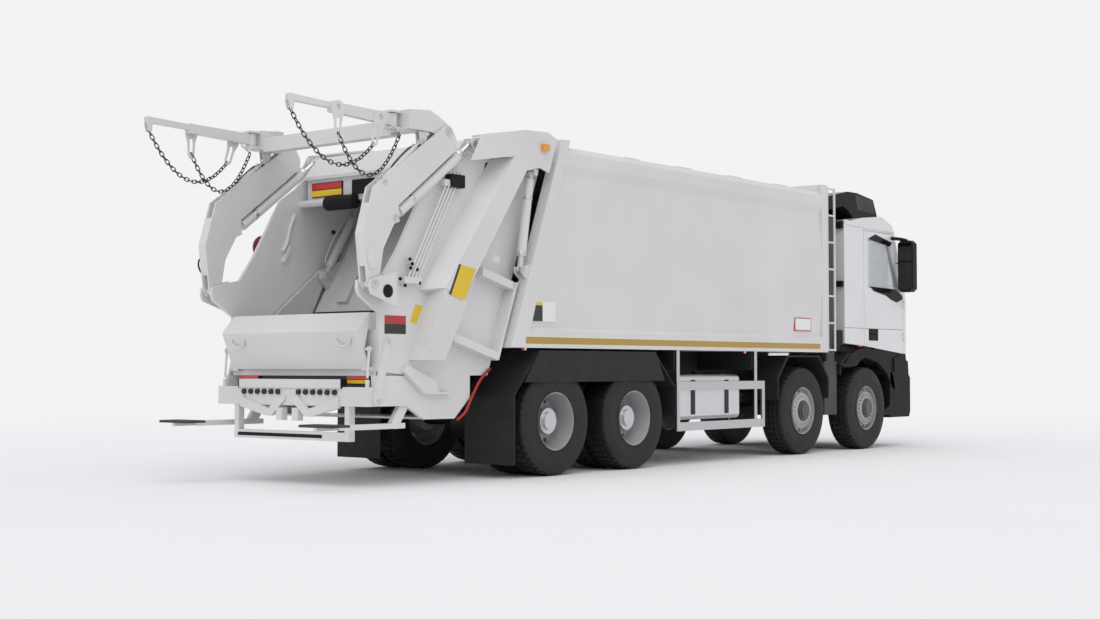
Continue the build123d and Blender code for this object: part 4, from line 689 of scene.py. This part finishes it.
# Black plates over openings in the tail wall, standing in for the shade inside them: painted shade
shade_plates = (
    ("recess_shade", ((-951, 2898), (-847, 2907), (-685, 3145), (-876, 3112)), (1038, 1041), plastic_black),
    ("wall_slot_shade", ((-1062, 2686), (-1082, 2676), (-1228, 2429), (-1208, 2439)), (1038, 1041), plastic_black),
)
for body, rows in (("tailgate", tail_plates), ("chassis", body_plates), ("tailgate", shade_plates)):
    for name, outline, (low, high), finish in rows:
        give(plate(outline, low, high, 0), name, finish, body)

# Cab trim

# Name, outline in side view, how far out, finish
door_inner = 1148
door_trim = (
    ("door_band", ((6859, 2852), (7083, 2930), (7585, 2845), (7515, 2787)), 1154, gloss_black),
    ("door_sill_trim", ((6915, 2205), (7320, 2200), (7667, 2193), (7878, 2114), (7896, 2061), (7711, 2011),
                        (7525, 2048), (7387, 2097), (7025, 2147)), 1155, gloss_black),
    ("door_handle_pan", ((6875, 1465), (7149, 1465), (7149, 1629), (6875, 1629)), 1152, plastic_black),
    ("door_seam", ((6760, 1626), (6875, 1626), (6875, 1631), (6760, 1631)), 1151, plastic_black),
    ("door_seam_fore", ((7149, 1626), (7880, 1626), (7880, 1631), (7149, 1631)), 1151, plastic_black),
)
for name, outline, out, finish in door_trim:
    pair(plate(outline, door_inner, out, 1), name, finish, "door_{}")
door_handle = ((1150, 6905, 1560), (1172, 6915, 1560), (1172, 7110, 1560), (1150, 7120, 1560))
mirror_stay = ((1148, 7560, 2905), (1260, 7640, 2900), (1340, 7675, 2866))
for name, run, radius in (("door_handle", door_handle, 9), ("mirror_stay", mirror_stay, 24)):
    pair(pipe(run, radius), name, plastic_black, "door_{}")
for name, high in (("mirror_glass", (2175, 2560)), ("mirror_glass_high", (2590, 2845))):
    pair(block((1243, 1434), (7603, 7611), high, 3), name, mirror_dark, "door_{}")
# Name, outline in side view, across from and to, finish
cab_trim = (
    ("drip_rail", ((6199, 3072), (6199, 3008), (7640, 2985), (7640, 3010)), (1140, 1162), cab_white),
    ("cab_seam", ((6200, 1626), (6735, 1626), (6735, 1631), (6200, 1631)), (1148, 1150.6), plastic_black),
    ("roof_mesh", ((6887, 3477), (7380, 3440), (7450, 3249), (6950, 3270)), (946, 953), grating_dark),
    ("arch_flare", ((6033, 1137), (6180, 1158), (6329, 1271), (6544, 1344), (6762, 1371), (7117, 1328),
                    (7388, 1203), (7546, 1012), (7599, 884), (7611, 777), (7519, 820), (7384, 1012),
                    (7114, 1171), (6760, 1232), (6629, 1200), (6498, 1118), (6200, 1097)),
     (1100, 1165), plastic_black),
    ("rear_corner", ((6005, 1592), (6151, 1594), (6149, 1422), (5980, 1299)), (1118, 1150), plastic_black),
    ("bumper_side", ((7596, 1226), (7785, 1270), (8021, 1184), (8041, 967), (8009, 555), (7887, 418),
                     (7283, 443), (7284, 506), (7609, 638)), (1130, 1166), plastic_black),
    ("nose_side", ((7000, 1376), (7117, 1320), (7388, 1195), (7546, 1005), (7640, 1040), (8035, 1040),
                   (7985, 1300)), (1106, 1146), plastic_black),
    ("behind_cab_high", ((6150, 2952), (6230, 2952), (6230, 3048), (6150, 3048)), (1000, 1140), plastic_black),
    ("behind_cab_mid", ((6150, 2171), (6230, 2171), (6230, 2251), (6150, 2251)), (1000, 1140), plastic_black),
)
thin, trim_edge = 10, 4
for name, outline, (low, high), finish in cab_trim:
    pair(plate(outline, low, high, 0 if high - low < thin else trim_edge), name, finish, "chassis")
pair(block((1100, 1150), (6600, 6680), (1376, 1400), 4), "arch_lamp", lamp_red, "chassis")
pair(block((858, 1102), (8035, 8074), (648, 802), 10), "headlamp", lamp_clear, "chassis")
pair(block((1115, 1158), (8030, 8068), (852, 948), 8), "front_turn_lamp", lamp_amber, "chassis")
give(block((-740, 740), (8008, 8022), (1990, 2010), 2), "nose_seam", plastic_black, "chassis")


screen_foot, screen_low, screen_rake = 7990, 2080, 0.380
# Heights of a wiper's foot, middle and tip, and how far each stands off the glass
wiper_steps = ((2120, 14), (2330, 16), (2560, 8))


def off_screen(x, z, off):
    """A point off the windscreen's outer side."""
    return (x, screen_foot - screen_rake * (z - screen_low) + off, z)


for name, foot_x, tip_x in (("wiper_right", 420, -160), ("wiper_left", -380, -900)):
    places = (foot_x, (foot_x + tip_x) / 2, tip_x)
    wiper = pipe([off_screen(x, *step) for x, step in zip(places, wiper_steps)], 8)
    give(wiper, name, plastic_black, "chassis")


def cushion(x, y, z, crown, name):
    """A stuffed seat piece with a crowned top and rounded edges."""
    low, high = at(x[0], y[0], z[0]), at(x[1], y[1], z[1])
    bpy.ops.mesh.primitive_cube_add(size=2, location=(0, 0, 0))
    piece = bpy.context.object
    bpy.ops.object.mode_set(mode="EDIT")
    bpy.ops.mesh.subdivide(number_cuts=7)
    bpy.ops.object.mode_set(mode="OBJECT")
    half = (high - low) / 2
    for corner in piece.data.vertices:
        u, v, w = corner.co
        if abs(w) == 1:
            corner.co.z += math.copysign(crown * mm * (1 - u * u) * (1 - v * v) / half.z, w)
        if abs(v) == 1:
            corner.co.y += math.copysign(crown * mm * (1 - u * u) * (1 - w * w) / half.y, v)
    piece.scale, piece.location = half, (low + high) / 2
    set_down(piece)
    soften(piece, 28, 3, 60)
    give(smooth(piece, 60), name, seat_cloth, "chassis")


# Name, half width, along, high, crown
seat_pieces = (("seat_cushion", 252, (6648, 7154), (1778, 1922), 7),
               ("seat_back", 252, (6558, 6692), (1778, 2652), 6),
               ("head_rest", 120, (6580, 6670), (2662, 2810), 6))
for hand, x in (("left", -560), ("right", 560)):
    for name, half_width, y, z, crown in seat_pieces:
        cushion((x - half_width, x + half_width), y, z, crown, f"{name}_{hand}")

# Tank cap, tail lamps, header lamp and the reel shaft

cap_steps = (((940, 2950, 1012), (940, 2950, 1042), 52, 24, 3),
             ((940, 2950, 1040), (940, 2950, 1056), 40, 24, 3))
give(joined([bar(*row) for row in cap_steps]), "tank_cap", plastic_black, "chassis")
for name, high, finish in (("tail_lamp_red", (985, 1017), lamp_red),
                           ("tail_lamp_yellow", (949, 981), lamp_yellow)):
    pair(block((622, 908), (-2332, -2323), high, 3), name, finish, "tailgate")
# Name, across, along, high, rounding, finish
header_pieces = (
    ("high_lamp_frame", (-887, -427), (-1412, -1398), (2847, 2996), 4, plastic_black),
    ("high_lamp_red", (-877, -437), (-1420, -1408), (2925, 2988), 3, lamp_red),
    ("high_lamp_yellow", (-877, -437), (-1420, -1408), (2855, 2918), 3, lamp_yellow),
    ("header_box", (-279, 30), (-1425, -1398), (2845, 2991), 6, plastic_black),
)
for name, x, y, z, edge, finish in header_pieces:
    give(block(x, y, z, edge), name, finish, "tailgate")
give(bar((-1000, -1445, 2786), (-600, -1445, 2786), 38), "reel_shaft", body_white, "tailgate")
drum = bar((-608, -1445, 2768), (-203, -1445, 2768), 74, 28, 4)
give(joined([drum, block((-216, -196), (-1450, -1398), (2755, 2800))]), "reel_drum", plastic_black, "tailgate")

# Packing cylinders: barrels go with the carriage, rods with the tailgate

# Start, end, radius, sides, rounding
barrel_bars = (
    ((893, -1160, 2144), (893, -830, 2672), 44, 24, 4),  # barrel
    ((893, -1209, 2060), (893, -1150, 2158), 26, 20, 0),  # neck
    ((862, -1209, 2060), (880, -1209, 2060), 44, 20, 3),  # foot
    ((862, -1209, 2060), (884, -1209, 2060), 22, 20, 0),  # pin
)
barrel_hose = ((893, -1205, 2190), (893, -1235, 2215), (893, -930, 2706), (893, -880, 2680))
rod_bars = (((893, -911, 2543), (893, -545, 3128), 24, 20, 0),
            ((893, -545, 3128), (893, -520, 3168), 36, 20, 3))
pair(joined([bar(*row) for row in barrel_bars] + [pipe(barrel_hose, 9)]), "packing_barrel", inside_white_painted_shade,
     "packer_carriage")
pair(joined([bar(*row) for row in rod_bars] + [block((860, 1000), (-560, -480), (3140, 3190))]), "packing_rod",
     rod_chrome, "tailgate")

# On the left tail wall: latch, knobs and hose reel

latch_lever = ((-988, -1548, 2673), (-988, -1616, 2542), (-988, -1642, 2372), (-988, -1710, 2284))
give(pipe(latch_lever, 17), "latch_lever", body_white, "tailgate")
latch_pad = ((-1587, 2333), (-1681, 2160), (-1716, 2178), (-1622, 2351))
give(plate(latch_pad, -1000, -972, 4), "latch_pad", body_white, "tailgate")
wall_knobs = ((-1010, 2527), (-883, 2528), (-1162, 1969), (-1306, 2016))
give(joined([bar((-1000, y, z), (-978, y, z), 22, 16, 3) for y, z in wall_knobs]), "wall_knobs", chassis_black,
     "tailgate")
give(joined([bar((-1172, -1830, 2320), (-1148, -1830, 2320), 125, 36, 4),
             bar((-1180, -1830, 2320), (-1040, -1830, 2320), 26)]), "hose_reel", reel_red, "tailgate")

# Hand controls

knob_places = ((-1995, 2096), (-1964, 2054), (-1985, 2016), (-2120, 1909), (-2057, 1851), (-1868, 1881),
               (-1900, 2005))
stem_foot, knob_out = 1044, 1102
knobs = [ball((knob_out, y, z), 17) for y, z in knob_places]
give(joined(knobs), "control_knobs", plastic_black, "tailgate")
stems = [bar((stem_foot, y, z), (knob_out, y, z), 7, 8) for y, z in knob_places]
give(joined(stems), "knob_stems", body_white, "tailgate")
give(block((1040, 1128), (-1460, -1267), (2815, 2940), 5), "valve_block", plastic_black, "tailgate")
valve_nuts = [bar((1100, y, 2936), (1100, y, 2962), 12, 12) for y in range(-1440, -1304, 45)]
give(joined(valve_nuts), "valve_nuts", hub_bright, "tailgate")

# Pins, caps, collars and pipes of the lift

# Name, place in side view, across from and to, radius, body
caps = (
    ("cap_arm_foot", (-2530, 1842), (1190, 1200), 40, "tailgate"),
    ("cap_heel", (-2239, 2454), (1158, 1170), 34, "lift_arms"),
    ("cap_tilt_foot", (-2379, 2770), (1158, 1168), 26, "lift_arms"),
    ("cap_arm_head", (-1537, 3327), (1158, 1170), 42, "lift_arms"),
    ("cap_lift_head", (-1177, 3253), (1168, 1178), 34, "tailgate"),
    ("cap_tail_top", (-359, 3048), (1248, 1256), 34, "tailgate"),
    ("cap_tail_foot", (-520, 2065), (1230, 1240), 32, "chassis"),
    ("cap_tilt_head", (-1863, 3206), (1131, 1137), 24, "lift_beam"),
    ("cap_hinge", (60, 3440), (1030, 1042), 46, "chassis"),
)
for name, (y, z), (low, high), radius, body in caps:
    disc = bar((low, y, z), (high, y, z), radius, 24, 2)
    bolt = bar((high - 1, y, z), (high + 4, y, z), radius * 0.4, 6)
    pair(joined([disc, bolt]), name, hub_bright, body)


def share_of(start, end, share):
    """A side-view point part of the way from one pin to another."""
    return tuple(a + share * (b - a) for a, b in zip(start, end))


# Name, across, foot and head in side view, barrel radius, share of the length where its lower band starts
barrel_rows = (
    ("lift", 1105, (-2239, 2454), (-1177, 3253), 52, 0.22),
    ("tilt", 1105, (-2379, 2770), (-1863, 3206), 28, 0.3),
    ("tailgate", 1180, (-359, 3048), (-520, 2065), 46, 0.25),
)
band_share, gland_shares, pipe_end_share = 0.03, (0.82, 0.862), 0.8
pipe_clear, pipe_dip, pipe_radius = 14, 0.6, 8
for name, x, foot, head, radius, start in barrel_rows:
    gland = bar(*((x, *share_of(foot, head, share)) for share in gland_shares), radius + 5, 28, 2)
    band = bar(*((x, *share_of(foot, head, share)) for share in (start, start + band_share)), radius + 4, 28, 2)
    pair(joined([gland, band]), name + "_collars", hub_bright, name + "_barrels")
    (ya, za), (yb, zb) = share_of(foot, head, start), share_of(foot, head, pipe_end_share)
    reach = (radius + pipe_clear) / math.dist((ya, za), (yb, zb))
    off_y, off_z = -(zb - za) * reach, (yb - ya) * reach
    line = [(x, y + off_y * share, z + off_z * share)
            for y, z, share in ((ya, za, pipe_dip), (ya, za, 1), (yb, zb, 1), (yb, zb, pipe_dip))]
    pair(pipe(line, pipe_radius), name + "_pipe", chassis_black, name + "_barrels")
arm_pad = ((-2596, 2084), (-2580, 1990), (-2540, 1977), (-2495, 1990), (-2477, 2084), (-2495, 2178),
           (-2540, 2191), (-2580, 2178))
pair(plate(arm_pad, 1159, 1171, 3), "arm_pad", body_white, "lift_arms")
pair(bar((1190, -2370, 1785), (1200, -2370, 1785), 60, 28, 3), "foot_pad", plastic_black, "tailgate")
grab_handle = ((-1165, -2600, 2179), (-1200, -2625, 2150), (-1200, -2590, 2030), (-1165, -2560, 2000))
give(pipe(grab_handle, 9), "grab_handle", plastic_black, "lift_arms")

# Low frame: gratings, strips, latch channel, link pins, hose and comb

pair(block((787, 1198), (-3056, -2840), (589, 594), 2), "step_grating", grating_dark, "foot_steps")
give(block((-748, 442), (-2473, -2469), (444, 476), 0), "underrun_strip", plastic_black, "tailgate")
# A dark grey sheet behind the sill, where a white surface lies in shadow: painted shadow
give(block((-600, 600), (-2304, -2300), (905, 1030), 1), "sill_shadow_panel", duct_grey, "tailgate")
latch_channel = ((-1998, 1113), (-1642, 980), (-1586, 865), (-1417, 872), (-1450, 840), (-1780, 848),
                 (-2051, 1057))
pair(plate(latch_channel, 1040, 1100, 4), "latch_channel", body_white, "tailgate")
link_pins = [bar((1060, y, z), (1072, y, z), 20, 16, 2) for y, z in ((-2226, 1336), (-2350, 790))]
pair(joined(link_pins), "link_pins", hub_bright, "tailgate")
hose_line = ((1052, -817, 1084), (1062, -960, 1010), (1062, -1110, 790), (1062, -1200, 640), (1052, -1294, 600))
give(pipe(hose_line, 13), "hose_line", hose_red, "tailgate")
pair(block((712, 724), (-2497, -2420), (902, 990), 3), "comb_end", plastic_black, "tailgate")
pair(bar((999, -2433, 917), (999, -2433, 985), 20, 16), "rod_guide", body_white, "tailgate")

# Camera, light and floor

backdrop = (0.895, 0.895, 0.905)
camera_place, camera_tilt, camera_turn = (11123, -12256, 1093), 92.156, 39.152
camera_lens, sensor_width = 50.737, 36
# The floor blends into the backdrop between these distances in metres
floor_radius, blend_from, blend_to = 160, 7, 24
sky_color, sky_strength = (0.97, 0.98, 1, 1), 0.68
sun_lean, sun_side, sun_energy, sun_spread = 24, 20, 1.05, 70


def set_camera():
    """The camera at the photograph's place and angle."""
    bpy.ops.object.camera_add(location=at(*camera_place),
                              rotation=(math.radians(camera_tilt), 0, math.radians(camera_turn)))
    camera = bpy.context.object
    camera.data.lens, camera.data.sensor_width = camera_lens, sensor_width
    camera.data.clip_end = 400
    bpy.context.scene.camera = camera


def set_floor():
    """A pale floor whose far part shows the backdrop's own colour."""
    bpy.ops.mesh.primitive_circle_add(vertices=96, radius=floor_radius, fill_type="NGON", location=(0, 0, -mm))
    floor = bpy.context.object
    floor.name = "floor"
    made, shader, add, link = nodes_of("floor_pale")
    dust = pattern(add, link, scale=0.6, detail=4)
    mixed = shaded(add, link, dust.outputs["Fac"], backdrop, tint(backdrop, 1.01))
    link.new(mixed, shader.inputs["Base Color"])
    shader.inputs["Roughness"].default_value = 1
    shader.inputs["Specular IOR Level"].default_value = 0
    spot, far = add.new("ShaderNodeTexCoord"), add.new("ShaderNodeVectorMath")
    ramp, pale, blend = (add.new("ShaderNodeMapRange"), add.new("ShaderNodeEmission"),
                         add.new("ShaderNodeMixShader"))
    far.operation, ramp.interpolation_type = "LENGTH", "SMOOTHSTEP"
    ramp.inputs["From Min"].default_value, ramp.inputs["From Max"].default_value = blend_from, blend_to
    pale.inputs["Color"].default_value = (*backdrop, 1)
    link.new(spot.outputs["Object"], far.inputs[0])
    link.new(far.outputs["Value"], ramp.inputs["Value"])
    link.new(ramp.outputs["Result"], blend.inputs[0])
    link.new(shader.outputs[0], blend.inputs[1])
    link.new(pale.outputs[0], blend.inputs[2])
    link.new(blend.outputs[0], add["Material Output"].inputs["Surface"])
    floor.data.materials.append(made)
    floor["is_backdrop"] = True


def set_light():
    """An even sky, which the camera sees as the backdrop, and one soft light from above."""
    world = bpy.data.worlds.new("studio")
    bpy.context.scene.world = world
    world.use_nodes = True
    add, link = world.node_tree.nodes, world.node_tree.links
    path, seen, lit, mix = (add.new("ShaderNodeLightPath"), add.new("ShaderNodeBackground"),
                            add["Background"], add.new("ShaderNodeMixShader"))
    both_rays = add.new("ShaderNodeMath")
    both_rays.operation = "MAXIMUM"
    seen.inputs["Color"].default_value = (*backdrop, 1)
    lit.inputs["Color"].default_value = sky_color
    lit.inputs["Strength"].default_value = sky_strength
    link.new(path.outputs["Is Camera Ray"], both_rays.inputs[0])
    link.new(path.outputs["Is Transmission Ray"], both_rays.inputs[1])
    link.new(both_rays.outputs[0], mix.inputs[0])
    link.new(lit.outputs[0], mix.inputs[1])
    link.new(seen.outputs[0], mix.inputs[2])
    link.new(mix.outputs[0], add["World Output"].inputs[0])
    bpy.ops.object.light_add(type="SUN", rotation=(math.radians(sun_lean), math.radians(sun_side), 0))
    above = bpy.context.object
    above.data.energy, above.data.angle = sun_energy, math.radians(sun_spread)


set_camera()
set_floor()
set_light()
bpy.context.scene.view_settings.view_transform = "Standard"
low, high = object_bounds()
